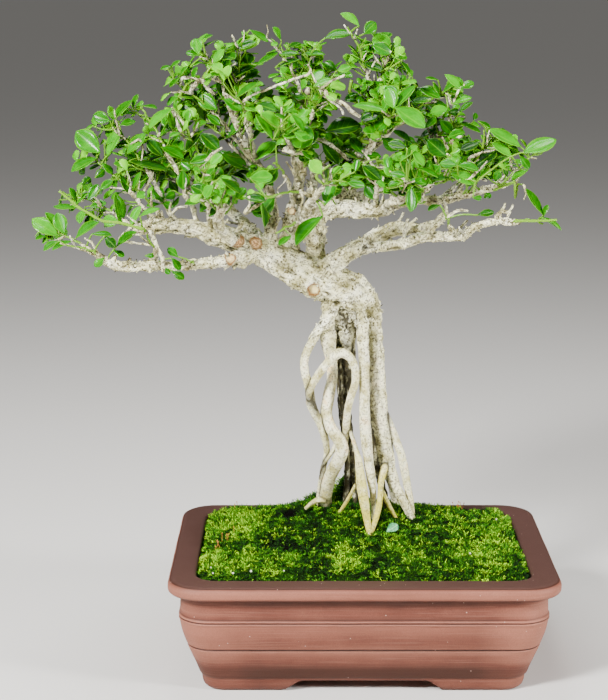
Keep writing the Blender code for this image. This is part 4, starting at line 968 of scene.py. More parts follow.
def moss_base(x, y):
    """Gives the height of the moss's ground at points, with its clumps."""
    wall = np.minimum(POT_LENGTH / 2 - WALL_INSET - abs(x), POT_DEPTH / 2 - WALL_INSET - abs(y))
    wall = np.maximum(wall, 0)
    mound = np.exp(-(((x - MOUND_MIDDLE[0]) / MOUND_SPREAD[0]) ** 2
                     + ((y - MOUND_MIDDLE[1]) / MOUND_SPREAD[1]) ** 2) / 2)
    level = (WALL_LEVEL + SHOULDER_RISE * (1 - np.exp(-wall / SHOULDER_REACH))
             + np.minimum(1, wall / SHOULDER_REACH) * MOUND_RISE * mound)
    for middle, spread, high in HEAPS:
        level = level + high * np.exp(-((x - middle[0]) / spread[0]) ** 2
                                      - ((y - middle[1]) / spread[1]) ** 2)
    spots = np.stack((x, y, 0 * x), 1)
    clumps = (1.9 * waves(spots, 17.0, 3.0) + 2.0 * abs(waves(spots, 8.0, 6.0))
              + 0.8 * waves(spots, 3.2, 9.0))
    # It has sunk along the left, right and back walls
    sunk_left = 4.0 * np.exp(-((x + 131) / 7.0) ** 2) * (0.6 + 0.4 * (y > -40))
    sunk_right = 3.0 * np.exp(-((x - 131) / 5.0) ** 2) * (y > -70)
    sunk_back = 2.5 * np.exp(-((y - 93) / 6.0) ** 2) * (x < -30)
    return level + clumps * np.minimum(1, 0.35 + wall / 8) - sunk_left - sunk_right - sunk_back


def moss_tone(points):
    """Gives how bright the moss is at points: below -1 it is bare, black soil."""
    seen, ground = pixels_of(points), points * (1, 1, 0)
    tone = 0.55 * waves(ground, 24.0, 12.0) + 0.45 * waves(ground, 9.0, 15.0)
    broken = 1 + 0.8 * waves(ground, 7.0, 18.0) + 0.9 * waves(ground, 3.0, 24.0)
    for middle, half, strength in MOSS_PATCHES:
        away = (((seen - middle) / half) ** 2).sum(1)
        tone += strength * np.exp(-away ** 1.3) * broken
    return tone


wall_ring = pot_ring(MOSS_INSET)
moss_reach = wall_ring.max(0)
turn = np.arctan2(wall_ring[:, 1] / moss_reach[1], wall_ring[:, 0] / moss_reach[0])
round_ring = moss_reach * np.stack((np.cos(turn), np.sin(turn)), 1)
flat = np.concatenate([wall_ring * share for share in UNDER_RINGS]
                      + [(wall_ring * s + round_ring * (1 - s)) * s
                         for s in np.linspace(1.0, 0.02, MOSS_RINGS)])
moss_points = np.column_stack((flat, moss_base(*flat.T)))
moss_points[:len(UNDER_RINGS) * len(wall_ring), 2] -= MOSS_THICKNESS

# Under the shoots the bed is matted and nearly black, with no shine
BED_GRAIN = 1.1
moss_bed = finish_named("moss_bed", {"Roughness": 0.95, "Specular IOR Level": 0.05})
bed_noise = add_node(moss_bed, "TexNoise", {
    "Vector": add_node(moss_bed, "TexCoord").outputs["Object"], "Scale": 1000 / BED_GRAIN,
    "Detail": 3.0, "Roughness": 0.7})
bed_shift = add_node(moss_bed, "MapRange", {
    "Value": bed_noise, "From Min": 0.35, "From Max": 0.65, "To Min": -0.9, "To Max": 0.9})
tone_mark = add_node(moss_bed, "Attribute", attribute_name="tone").outputs["Fac"]
bed_tone = add_node(moss_bed, "Math", {0: tone_mark, 1: bed_shift}, operation="ADD")
bed_place = add_node(moss_bed, "MapRange", {
    "Value": bed_tone, "From Min": -1.6, "From Max": 1.4})
coat(moss_bed, {
    "Base Color": add_node(moss_bed, "ValToRGB", {"Fac": bed_place}, stops=[
        (0.15, "#060503"), (0.38, "#081002"), (0.62, "#122C04"), (0.9, "#2E5C06")]),
    "Normal": add_node(moss_bed, "Bump", {
        "Height": bed_noise, "Strength": 0.9, "Distance": 0.0012})})
mesh_piece("moss_carpet", moss_points,
           shell_faces(len(UNDER_RINGS) + MOSS_RINGS, len(wall_ring)), moss_bed, "moss",
           ["moss"], tone=moss_tone(moss_points))

# The shoots' tiny leaves are dull, with painted shade at the foot, and yellow-green where brightest
moss_leaf = finish_named("moss_shoots", {"Roughness": 0.55, "Specular IOR Level": 0.15})
tip_share, shoot_tone, _ = add_node(moss_leaf, "SeparateXYZ", {
    "Vector": add_node(moss_leaf, "Attribute", attribute_name="shoot").outputs["Vector"]}).outputs
shoot_colour = add_node(moss_leaf, "ValToRGB", {"Fac": shoot_tone}, stops=[
    (0.08, "#051200"), (0.30, "#0C3000"), (0.50, "#206200"), (0.68, "#509604"),
    (0.90, "#A8D810")])
shaded_foot = add_node(moss_leaf, "MapRange", {
    "Value": tip_share, "From Min": 0.1, "From Max": 0.9, "To Min": 0.05, "To Max": 1.15})
coat(moss_leaf, {"Base Color": add_node(moss_leaf, "VectorMath", {
    0: shoot_colour, "Scale": shaded_foot}, operation="SCALE")})

draw = np.random.default_rng(41)
clump_middles = draw.uniform((-131, -94), (131, 94), (TUFTS * 2 // CLUMP, 2))
clump_of = np.repeat(np.arange(len(clump_middles)), CLUMP)
from_clump = 1.4 * draw.normal(size=(len(clump_of), 2))
spots = clump_middles[clump_of] + from_clump
beyond = np.maximum(abs(spots) - (moss_reach - 18), 0)
height = moss_base(*spots.T)
tones = moss_tone(np.column_stack((spots, height)))
bare_below = -1.35 + 0.4 * draw.normal(size=len(clump_middles))[clump_of]
kept = np.flatnonzero((np.hypot(*beyond.T) < 17.0) & (tones > bare_below))[:TUFTS]
spots, height, tones, clump_of, from_clump = (
    rows[kept] for rows in (spots, height, tones, clump_of, from_clump))
lean = np.stack((height - moss_base(*(spots + (1, 0)).T),
                 height - moss_base(*(spots + (0, 1)).T), np.ones(len(spots))), 1)
lean += draw.normal(size=lean.shape) * (0.25, 0.25, 0.1)
lean[:, :2] += 0.45 * from_clump
height = height + draw.uniform(-0.8, 1.4, len(clump_middles))[clump_of]
tuft_of = np.repeat(np.arange(len(spots)), SPIKES)
heading = lean[tuft_of] + draw.normal(size=(len(tuft_of), 3)) * (0.75, 0.75, 0.25)
heading[:, 2] = abs(heading[:, 2]) + 0.15
heading /= np.linalg.norm(heading, axis=1)[:, None]
length = draw.uniform(2.6, 5.4, len(tuft_of)) * (0.85 + 0.25 * np.clip(tones[tuft_of], -1, 1))
foot = np.column_stack((spots, height - 0.7))[tuft_of]
foot += draw.uniform(-0.8, 0.8, foot.shape) * (1, 1, 0.2)
thick = draw.uniform(0.24, 0.42, len(tuft_of))
one = np.cross(heading, (0.3, 0.7, 0.1))
one /= np.linalg.norm(one, axis=1)[:, None]
two = np.cross(heading, one)
# A shoot is a spike on three corners, or a rosette that opens upward
rosette = draw.random(len(tuft_of)) < 0.35
rise = heading * length[:, None]
shoots = np.empty((len(tuft_of), 4, 3))
for k in range(3):
    angle = math.tau * k / 3
    shoots[:, k] = foot + thick[:, None] * (math.cos(angle) * one + math.sin(angle) * two)
shoots[:, 3] = foot + rise
shoots[rosette, :3] += rise[rosette, None]
shoots[rosette, 3] = foot[rosette]
wall_reach = (POT_LENGTH / 2 - SHOOT_INSET, POT_DEPTH / 2 - SHOOT_INSET)
inside_wall = (abs(shoots[..., :2]) < wall_reach).all((1, 2))
shoots, tuft_of, rosette = (rows[inside_wall] for rows in (shoots, tuft_of, rosette))
ground = np.column_stack((spots, 0 * height))
tuft_shade = (1.3 * draw.normal(size=len(clump_middles))[clump_of]
              + 1.2 * waves(ground, 5.0, 21.0))
# Painted shade in the hollows between the cushions, and painted light on their crowns
cushion_light_and_shade = np.minimum(abs(waves(ground, 8.0, 6.0)), 0.45)
brightness = ((0.27 + 0.24 * tones + 0.13 * tuft_shade + 0.75 * cushion_light_and_shade)[tuft_of]
              + 0.15 * draw.normal(size=len(tuft_of)))
bright = brightness > np.median(brightness)
for name, chosen in (("moss_bright_shoots", bright), ("moss_dark_shoots", ~bright)):
    some = shoots[chosen]
    corners = 4 * np.arange(len(some))[:, None, None] + np.array(
        ((0, 1, 3), (1, 2, 3), (2, 0, 3), (2, 1, 0)))
    mark = np.zeros((len(some), 4, 3))
    mark[:, 3, 0] = ~rosette[chosen]
    mark[:, :3, 0] = rosette[chosen][:, None]
    mark[..., 1] = np.clip(brightness[chosen], 0, 1)[:, None]
    mesh_piece(name, some.reshape(-1, 3), corners.reshape(-1, 3).tolist(), moss_leaf, "moss",
               shoot=mark.reshape(-1, 3))

# Moss stalks
# The moss's spore capsules, each on a thin stalk that grew up through the shoots. They stand
# in small patches.

# Patches: middle and half sizes in pixels, and how many
STALK_PATCHES = [((458, 513), (5, 3), 7), ((230, 545), (15, 9), 9), ((235, 509), (4, 4), 3),
                 ((350, 500), (8, 4), 3)]
# Rings of a stalk and its capsule: part of its rise, and radius
STALK_RINGS = ((0, 0.22), ((0.3, 0.3, 0.5), 0.2), (1, 0.2), (1.05, 0.45), (1.17, 0.4),
               (1.22, 0.1))
STALK_PATCH = 10 / 3


def seen_on(pixel, height):
    """Gives the point at a height which shows at a pixel."""
    near, far = seen_at(pixel, 0.0), seen_at(pixel, 100.0)
    return near + (far - near) * (height - near[2]) / (far[2] - near[2])


dice = random.Random(12)
stalks = []
for middle, half, number in STALK_PATCHES:
    for _ in range(number):
        pixel = [m + dice.uniform(-h, h) for m, h in zip(middle, half)]
        ground = seen_on(pixel, 98.0)
        ground[2] = moss_base(ground[:1], ground[1:2])[0] - 0.5
        bow = np.array((dice.uniform(-2, 2), dice.uniform(-2, 2), dice.uniform(5, 8)))
        stalks.append(tube(stations_on(ground, bow, STALK_RINGS), 5))
# A stalk is wiry, with a slight shine, and runs from brown to orange
stalk_skin = finish_named("moss_stalk", {"Roughness": 0.5})
stalk_noise = add_node(stalk_skin, "TexNoise", {
    "Vector": add_node(stalk_skin, "TexCoord").outputs["Object"], "Scale": 1000 / STALK_PATCH})
coat(stalk_skin, {"Base Color": add_node(stalk_skin, "ValToRGB", {"Fac": stalk_noise}, stops=[
    (0.35, "#8A4A1C"), (0.65, "#C98A3A")])})
mesh_piece("moss_stalks", *joined(stalks), stalk_skin, "moss")

# Perlite grains
# Volcanic glass, popped like corn in a furnace and mixed into the soil to keep it open. A few
# grains worked up to the wall's edge.
GRAINS_SEEN = [(211, 573), (233, 577), (251, 576), (284, 576), (496, 530), (470, 563),
               (213, 577)]
GRAIN_RADIUS = (0.5, 0.9)
PERLITE_PIT = 0.625
grains = []
for pixel in GRAINS_SEEN:
    middle = seen_on(pixel, 93.0)
    middle[2] = moss_base(middle[:1], middle[1:2])[0] + 3.0
    middle[1] = max(middle[1], -(POT_DEPTH / 2 - 23.4))
    size = dice.uniform(*GRAIN_RADIUS)
    turns = [math.pi * k / 6 for k in range(1, 6)]
    points, faces = tube(stations_on(middle, (0, 0, -size), [
        (math.cos(turn), size * math.sin(turn)) for turn in turns]), 8)
    lumpy = 1 + 0.3 * waves(points, 1.1, pixel[0] * 0.1)
    grains.append((middle + (points - middle) * lumpy[:, None], faces))
# Perlite is a chalky white foam of glass, pitted with burst bubbles
perlite = finish_named("expanded_perlite", {"Roughness": 0.9})
perlite_noise = add_node(perlite, "TexNoise", {
    "Vector": add_node(perlite, "TexCoord").outputs["Object"], "Scale": 1000 / PERLITE_PIT})
coat(perlite, {
    "Base Color": add_node(perlite, "ValToRGB", {"Fac": perlite_noise}, stops=[
        (0.35, "#CFC8B4"), (0.6, "#F1EEE4")]),
    "Normal": add_node(perlite, "Bump", {
        "Height": perlite_noise, "Strength": 0.8, "Distance": 0.0004})})
mesh_piece("perlite_grains", *joined(grains), perlite, "soil")

# Twigs
# Each twig grew out of a limb and was clipped back many times, so that it is crooked and
# knobby, with short stubs and spurs. The wood turns to green stem near its end.

# Pairs of leaves, the limb, how far along it, and the furthest point of its leaves
SHOOTS = [
    (3, "left_high", 1.0, (-240, -22, 385)), (3, "left_low", 1.0, (-262, -32, 359)),
    (3, "left_low", 0.92, (-236, -74, 350)), (3, "left_high", 0.80, (-226, 4, 414)),
    (3, "left_high", 0.66, (-206, 2, 440)), (3, "left_high", 0.50, (-184, 8, 456)),
    (2, "left_high", 0.72, (-192, -48, 398)), (3, "left_low", 0.62, (-178, -84, 368)),
    (2, "left_low", 0.45, (-140, -70, 335)), (3, "back_left", 0.75, (-206, 56, 396)),
    (3, "rising_left", 0.62, (-156, 8, 478)), (3, "rising_left", 1.0, (-128, -4, 500)),
    (2, "left_high", 0.32, (-144, -44, 446)), (2, "rising_left", 0.55, (-150, 54, 450)),
    (3, "rising_left", 0.92, (-98, 4, 511)), (3, "rising_middle", 0.95, (-70, -12, 509)),
    (3, "rising_left", 0.72, (-104, 54, 482)), (2, "rising_left", 0.68, (-100, -56, 470)),
    (3, "rising_middle", 1.0, (-42, 6, 501)), (3, "rising_right", 1.0, (-11, 2, 522)),
    (3, "rising_right", 0.95, (26, 4, 507)), (3, "rising_middle", 0.72, (-30, -58, 476)),
    (2, "rising_middle", 0.80, (-26, 58, 484)), (3, "rising_middle", 0.52, (-66, -84, 448)),
    (2, "rising_middle", 0.60, (-68, 88, 452)), (3, "rising_right", 0.75, (42, 0, 482)),
    (3, "rising_right", 0.52, (76, -6, 472)), (3, "rising_right", 0.62, (28, -58, 456)),
    (2, "rising_right", 0.56, (32, 62, 456)), (3, "right_mid", 0.58, (74, -56, 432)),
    (2, "back_right", 0.72, (82, 44, 440)), (3, "right_mid", 0.76, (112, -12, 434)),
    (3, "right_mid", 1.0, (150, -20, 424)), (2, "right_front", 1.0, (147, -52, 365)),
    (3, "right_mid", 0.90, (132, -46, 396)), (3, "right_mid", 0.66, (124, 30, 404)),
    (2, "front_right", 0.70, (92, -84, 404)), (2, "back_right", 0.90, (96, 88, 404)),
    (2, "front_left", 0.95, (-126, -104, 400)), (2, "front_middle", 0.88, (-76, -130, 396)),
    (2, "front_middle", 1.0, (-20, -130, 410)), (2, "front_right", 0.95, (30, -120, 406)),
    (3, "right_front", 0.55, (66, -110, 378)), (2, "front_middle", 0.45, (-70, -82, 362)),
    (2, "back_left", 0.95, (-170, 100, 402)), (2, "back_left", 0.68, (-116, 118, 396)),
    (2, "back_middle", 1.0, (-60, 135, 404)), (3, "back_middle", 0.80, (-2, 124, 408)),
    (2, "back_right", 0.98, (52, 118, 404)), (3, "rising_middle", 0.40, (-72, -58, 420)),
    (3, "right_mid", 0.30, (14, -74, 424)), (3, "left_high", 0.42, (-130, -84, 416)),
]
TWIG_RADIUS = (2.3, 1.3)
TWIG_RISE = 0.16
TWIG_SHORTEST = 0.3
TWIG_POINTS = 40
SHOOT_LENGTH, SHOOT_RADIUS = 44.0, (1.0, 0.75)
LEAF_REACH = 12.0
NUBS = 800
CROWN_MIDDLE = np.array((-50.0, 0.0, 330.0))
# The crown's outline in the photograph, in pixels
CROWN_TOP = [
    (20, 228), (30, 222), (44, 214), (57, 207), (60, 190), (70, 188), (73, 160), (75, 135),
    (85, 128), (95, 114), (105, 109), (115, 103), (130, 96), (145, 98), (150, 105), (158, 108),
    (165, 66), (175, 61), (187, 50), (195, 37), (212, 34), (222, 43), (232, 34), (243, 26),
    (255, 26), (268, 23), (275, 27), (283, 40), (300, 40), (312, 37), (325, 30), (340, 27),
    (358, 16), (365, 20), (377, 22), (385, 30), (398, 33), (405, 55), (415, 80), (440, 86),
    (446, 73), (460, 71), (475, 80), (477, 100), (480, 118), (490, 125), (505, 128), (521, 140),
    (540, 137), (557, 139)]
CROWN_BOTTOM = [
    (20, 228), (30, 232), (44, 250), (57, 250), (75, 243), (100, 250), (115, 258), (125, 258),
    (135, 240), (140, 228), (160, 215), (175, 210), (190, 210), (205, 218), (220, 213),
    (225, 205), (240, 203), (250, 212), (264, 222), (272, 195), (280, 150), (290, 140),
    (300, 160), (320, 175), (330, 200), (345, 185), (365, 188), (380, 198), (395, 190),
    (410, 206), (420, 206), (430, 190), (450, 185), (476, 183), (495, 180), (510, 180),
    (524, 177), (534, 162), (545, 154), (557, 150)]
CROWN_LEFT, CROWN_RIGHT = 28, 553
# Bare twigs, stubs and thin limbs seen in the photograph: points in pixels and a radius in mm
BARE_TWIGS = [
    ([(256, 93), (270, 88), (292, 80), (310, 73), (308, 64)], 1.5),
    ([(215, 78), (225, 70), (235, 63)], 1.4), ([(267, 38), (268, 31), (267, 25)], 0.7),
    ([(243, 42), (244, 36), (243, 30)], 0.7), ([(284, 150), (295, 153), (305, 154)], 2.2),
    ([(322, 88), (333, 80), (345, 75)], 1.4),
    ([(330, 97), (345, 105), (352, 112), (360, 117)], 2.2), ([(340, 108), (343, 115)], 1.0),
    ([(320, 140), (335, 148), (348, 160)], 2.2), ([(382, 80), (388, 75), (392, 72)], 1.5),
    ([(382, 172), (384, 179), (383, 185)], 1.0), ([(277, 190), (283, 184), (287, 178)], 0.7),
    ([(200, 80), (208, 88), (215, 95)], 2.4), ([(183, 78), (195, 79), (205, 82)], 1.4),
    ([(172, 108), (176, 118), (180, 130), (185, 140)], 1.6),
    ([(160, 134), (175, 131), (190, 132)], 1.4), ([(152, 172), (148, 185), (140, 195)], 2.0),
    ([(140, 140), (143, 150), (142, 160)], 1.3), ([(208, 158), (215, 152), (222, 148)], 1.4),
    ([(105, 262), (98, 252), (92, 243), (85, 238)], 1.5),
    ([(100, 258), (88, 252), (75, 247), (60, 243)], 1.3),
    ([(122, 268), (127, 262), (130, 258)], 1.6),
    ([(150, 232), (156, 245), (163, 262), (163, 272)], 2.6),
    ([(120, 240), (135, 243), (150, 245)], 1.4), ([(448, 118), (457, 116), (465, 117)], 1.3),
    ([(450, 142), (456, 138), (462, 137)], 1.3), ([(468, 160), (476, 155), (483, 152)], 1.8),
    ([(500, 166), (509, 167), (517, 170)], 1.3), ([(452, 104), (458, 92), (465, 84)], 1.2),
    ([(525, 190), (526, 195), (524, 200)], 1.0), ([(431, 233), (445, 213), (444, 200)], 2.2),
    ([(455, 212), (462, 210), (468, 211)], 1.3), ([(450, 225), (454, 229), (457, 234)], 1.3),
    ([(462, 232), (467, 236), (463, 241)], 1.4), ([(405, 228), (411, 222), (417, 218)], 1.6),
    ([(497, 216), (503, 211), (510, 213)], 2.2), ([(500, 213), (504, 207), (505, 203)], 1.4),
    ([(508, 213), (512, 208), (513, 205)], 1.2), ([(337, 212), (341, 202), (340, 196)], 1.3),
    ([(352, 210), (356, 200), (353, 193)], 1.2), ([(365, 208), (369, 199), (374, 195)], 1.4),
    ([(381, 210), (384, 203), (383, 197)], 1.2), ([(396, 206), (402, 200), (408, 198)], 1.3),
    ([(300, 212), (303, 200), (300, 190)], 1.4), ([(245, 214), (250, 204), (248, 196)], 1.5),
    ([(170, 216), (178, 208), (188, 206)], 1.6), ([(178, 222), (170, 212), (172, 203)], 1.4),
]
LOW_BOX, HIGH_BOX = (np.array(corner) / MM - POT_MIDDLE / MM + inset
                     for corner, inset in zip(cad_box, (0.5, -0.5)))


def inside_crown(pixel, margin):
    """Says whether a pixel lies inside the crown's outline by a margin."""
    top, bottom = (np.interp(pixel[0], *zip(*line)) for line in (CROWN_TOP, CROWN_BOTTOM))
    return CROWN_LEFT < pixel[0] < CROWN_RIGHT and top + margin < pixel[1] < bottom - margin


def lies_inside(points):
    """Says whether points stay in the modelled plant's box."""
    return (points > LOW_BOX).all() and (points < HIGH_BOX).all()


def limb_place(limb, share):
    """Gives the point at a part of a limb's stations, and the limb's radius there."""
    stations = np.array(LIMBS[limb], float)
    position = share * (len(stations) - 1)
    first = min(int(position), len(stations) - 2)
    row = stations[first] + (stations[first + 1] - stations[first]) * (position - first)
    return row[:3], row[3]


def unit(vector):
    """Gives a vector its direction with length one."""
    return vector / np.linalg.norm(vector)


def crooked(route, amount, seed):
    """Bends a route of (x, y, z, radius) from side to side and swells it at its knots."""
    rows, run = route.copy(), run_of(route)
    spots = np.stack((run, 0 * run, 0 * run), 1)
    ends = np.clip(run / (0.15 * run[-1]), 0, 1)
    for axis in range(3):
        rows[:, axis] += amount * ends * (waves(spots, 9.0, seed + 7 * axis)
                                          + 0.5 * waves(spots, 4.0, seed + 3 + 7 * axis))
    rows[:, 3] *= 1 + 0.6 * np.clip(waves(spots, 3.3, seed + 2), -0.35, 1)
    return rows


def heading_on(samples, index):
    """Gives the heading at one of a twig's points."""
    return unit(samples[min(index + 1, TWIG_POINTS - 1)] - samples[index - 1])


def sideways(heading):
    """Gives a random vector square to a heading."""
    return np.cross(heading, [dice.gauss(0, 1) for _ in range(3)])


def offshoot(at, aim, length, radii, rises, step):
    """Gives a short stem's route, with its radii and how much its middle and end rise."""
    return smooth_route([(*at, radii[0])] + [
        (*(at + aim * length * share + np.array((0, 0, length * rise))), radius)
        for share, rise, radius in zip((0.5, 1), rises, radii[1:])], step)


def nearest_place(pixel, places):
    """Gives the index of the place that shows nearest a pixel, the front one by preference."""
    away = np.linalg.norm(pixels_of(places) - pixel, axis=1)
    return int((away + 0.12 * (places[:, 1] + 60)).argmin())


def seen_route(pixels, radius):
    """Gives a route through pixels from the wood that shows nearest, and that wood's index."""
    index = nearest_place(pixels[0], wood_places)
    root = wood_places[index]
    rows = [(*seen_at(pixel, root[1] - 3.0 - 0.6 * k), radius * (1 - 0.35 * k / len(pixels)))
            for k, pixel in enumerate(pixels)]
    if np.linalg.norm(np.array(rows[0][:3]) - root) > 2.0:
        rows = [(*root, radius)] + rows
    return smooth_route(rows, 2.0), index


dice = random.Random(8)
twigs, stems, twig_samples = [], [], []
shares = np.linspace(0, 1, TWIG_POINTS)[:, None]
for number, (_, limb, share, reached) in enumerate(SHOOTS):
    start, limb_radius = limb_place(limb, share)
    tip = reached - unit(reached - CROWN_MIDDLE) * LEAF_REACH
    far = np.linalg.norm(tip - start)
    bend = (start + tip) / 2 + np.array((0, 0, TWIG_RISE * far))
    turn = max(TWIG_SHORTEST, 1 - SHOOT_LENGTH / far)
    whole = (1 - shares) ** 2 * start + 2 * shares * (1 - shares) * bend + shares ** 2 * tip
    thick = min(TWIG_RADIUS[0], limb_radius)
    radii = thick + (TWIG_RADIUS[1] - thick) * shares / turn
    bent = crooked(np.column_stack((whole, radii)), 1.5, number * 1.7)
    woody = int((shares <= turn + 0.04).sum())
    wood, green = bent[:woody].copy(), bent[woody - 2:].copy()
    wood[-1, 3] *= 0.8
    green[:, 3] = np.linspace(*SHOOT_RADIUS, len(green))
    twigs.append(tube(wood, 7))
    stems.append(green)
    twig_samples.append(bent[:, :3])
twig_places = np.concatenate(twig_samples)
wood_places = np.concatenate([twig_places] + [
    route[route[:, 2] > 285, :3] for route in routes.values()])

# Short side twigs and stubs along the twigs and limbs
side_twigs = []
for number, samples in enumerate(twig_samples):
    for _ in range(5):
        index = dice.randrange(5, 36)
        at, heading = samples[index], heading_on(samples, index)
        aim = unit(unit(sideways(heading)) + 0.5 * heading + 0.35 * unit(at - CROWN_MIDDLE))
        route = offshoot(at, aim, dice.uniform(6, 18), (1.1, 0.85, 0.5), (0.08, 0.2), 2.0)
        route = crooked(route, 0.7, number * 3.1 + index)
        if inside_crown(pixels_of(route[-1, :3]), 0) and lies_inside(route[:, :3]):
            side_twigs.append((number, route))
            twigs.append(tube(route, 5))
for name in LIMBS:
    route = routes[name]
    for k in range(9, len(route) - 3, 5):
        if dice.random() < 0.45 or (name == "main_limb" and k < 46):
            continue
        heading = unit(route[k + 1, :3] - route[k - 1, :3])
        away = unit(sideways(heading) + (0, 0, 0.5))
        length = dice.choice((3.0, 4.0, 6.0, 10.0, 15.0))
        thick = dice.uniform(0.9, 1.9)
        begin = route[k, :3] + away * (route[k, 3] - 1.5)
        aim = unit(away + 0.5 * heading * dice.uniform(-0.6, 1.2))
        if aim[2] < -0.1 and length > 3 or not lies_inside(begin + aim * (4 + length)):
            continue
        spur = smooth_route([(*begin, thick * 1.3), (*(begin + away * 2), thick),
                             (*(begin + aim * (2 + length * 0.5)), thick * 0.85),
                             (*(begin + aim * (2 + length)), thick * 0.6)], 1.8)
        twigs.append(tube(crooked(spur, 0.6, k * 1.3 + route[k, 3]), 6))
for pixels, radius in BARE_TWIGS:
    route, _ = seen_route(pixels, 0.75 * radius)
    twigs.append(tube(crooked(route, 0.7, pixels[0][0] * 0.37), 7))
# Flakes and dead buds that stand off the bark
nub_spots = np.flatnonzero((roughness[:count] > 0.8) & (limb_surface[:, 2] > FUSED_ABOVE))
for index in dice.sample(list(nub_spots), NUBS):
    aim = unit(normals[index] + [dice.uniform(-0.8, 0.8) for _ in range(3)])
    length, thick = dice.uniform(0.8, 3.2), dice.uniform(0.5, 1.1)
    twigs.append(tube(stations_on(surface[index], aim, (
        (-1, thick), (0.5 * length, 0.8 * thick), (length, 0.25 * thick))), 5))
twig_points, twig_faces = joined(twigs)
# Dirt in flecks on the twigs, and painted shade that darkens those further back
twig_dirt_and_shade = np.clip(0.40 + 0.9 * waves(twig_points, 2.1, 3.0)
                    + 0.3 * np.clip((twig_points[:, 1] + 10) / 60, 0, 1), 0, 1)
mesh_piece("twigs", twig_points, twig_faces, bark, "bark", ["trunk_roots_and_branches"],
           grain=twig_points * (1, 1, 0.5), state=np.outer(twig_dirt_and_shade, (1, 0, 0)),
           wound=0 * twig_points)

# Leafy shoots
# Small leathery leaves in opposite pairs on green stems: glossy above with a pale midrib,
# duller and paler below. The youngest, at the tips, are yellow-green.
MOTTLE, VEINS = 6.0, 6.5
# The blade's outline as (part of the length, half width as part of the width), with the
# columns across it, for the larger leaves and for the small ones
BLADE = [(0.0, 0.035), (0.09, 0.12), (0.23, 0.31), (0.41, 0.46), (0.59, 0.50), (0.78, 0.40),
         (0.92, 0.20), (1.0, 0.02)]
SMALL_BLADE = [(0.0, 0.05), (0.2, 0.24), (0.5, 0.48), (0.76, 0.45), (0.94, 0.22), (1.0, 0.06)]
BLADE_COLUMNS, SMALL_COLUMNS = 5, 3
LEAF_THICKNESS = 0.35
SMALL_LEAF = 12.5
LEAF_SHAPE = 0.66
PETIOLE_RADIUS = 0.45
SIDE_SHOOTS = 18
# How much larger and lighter the leaves are by the pair, from the tip down
PAIR_SIZES, PAIR_TONES = (0.72, 1.0, 1.0, 0.95, 0.9), (0.22, 0.06, 0, -0.08, -0.12)
LEAFY_LIMBS = ("rising_left", "rising_middle", "rising_right", "right_mid", "front_left",
               "front_middle", "front_right")
# Green twigs seen in the photograph: points in pixels and a radius in mm
GREEN_TWIGS = [
    ([(143, 229), (120, 223), (103, 221), (90, 214), (78, 207), (70, 200), (59, 191)], 1.3),
    ([(203, 78), (213, 65), (222, 52)], 1.2), ([(178, 98), (183, 91), (187, 84)], 1.1),
    ([(361, 139), (375, 128), (388, 120)], 1.6), ([(316, 176), (323, 170), (330, 165)], 1.0),
    ([(356, 102), (350, 92), (352, 80)], 1.7), ([(380, 72), (395, 65), (402, 60)], 1.2),
    ([(483, 148), (484, 139), (484, 130)], 1.0),
    ([(487, 173), (505, 160), (517, 154), (524, 152)], 0.6),
    ([(515, 198), (515, 189), (514, 180)], 1.1),
    ([(494, 190), (504, 186), (513, 183)], 1.0), ([(515, 221), (540, 221), (557, 220)], 1.2),
]
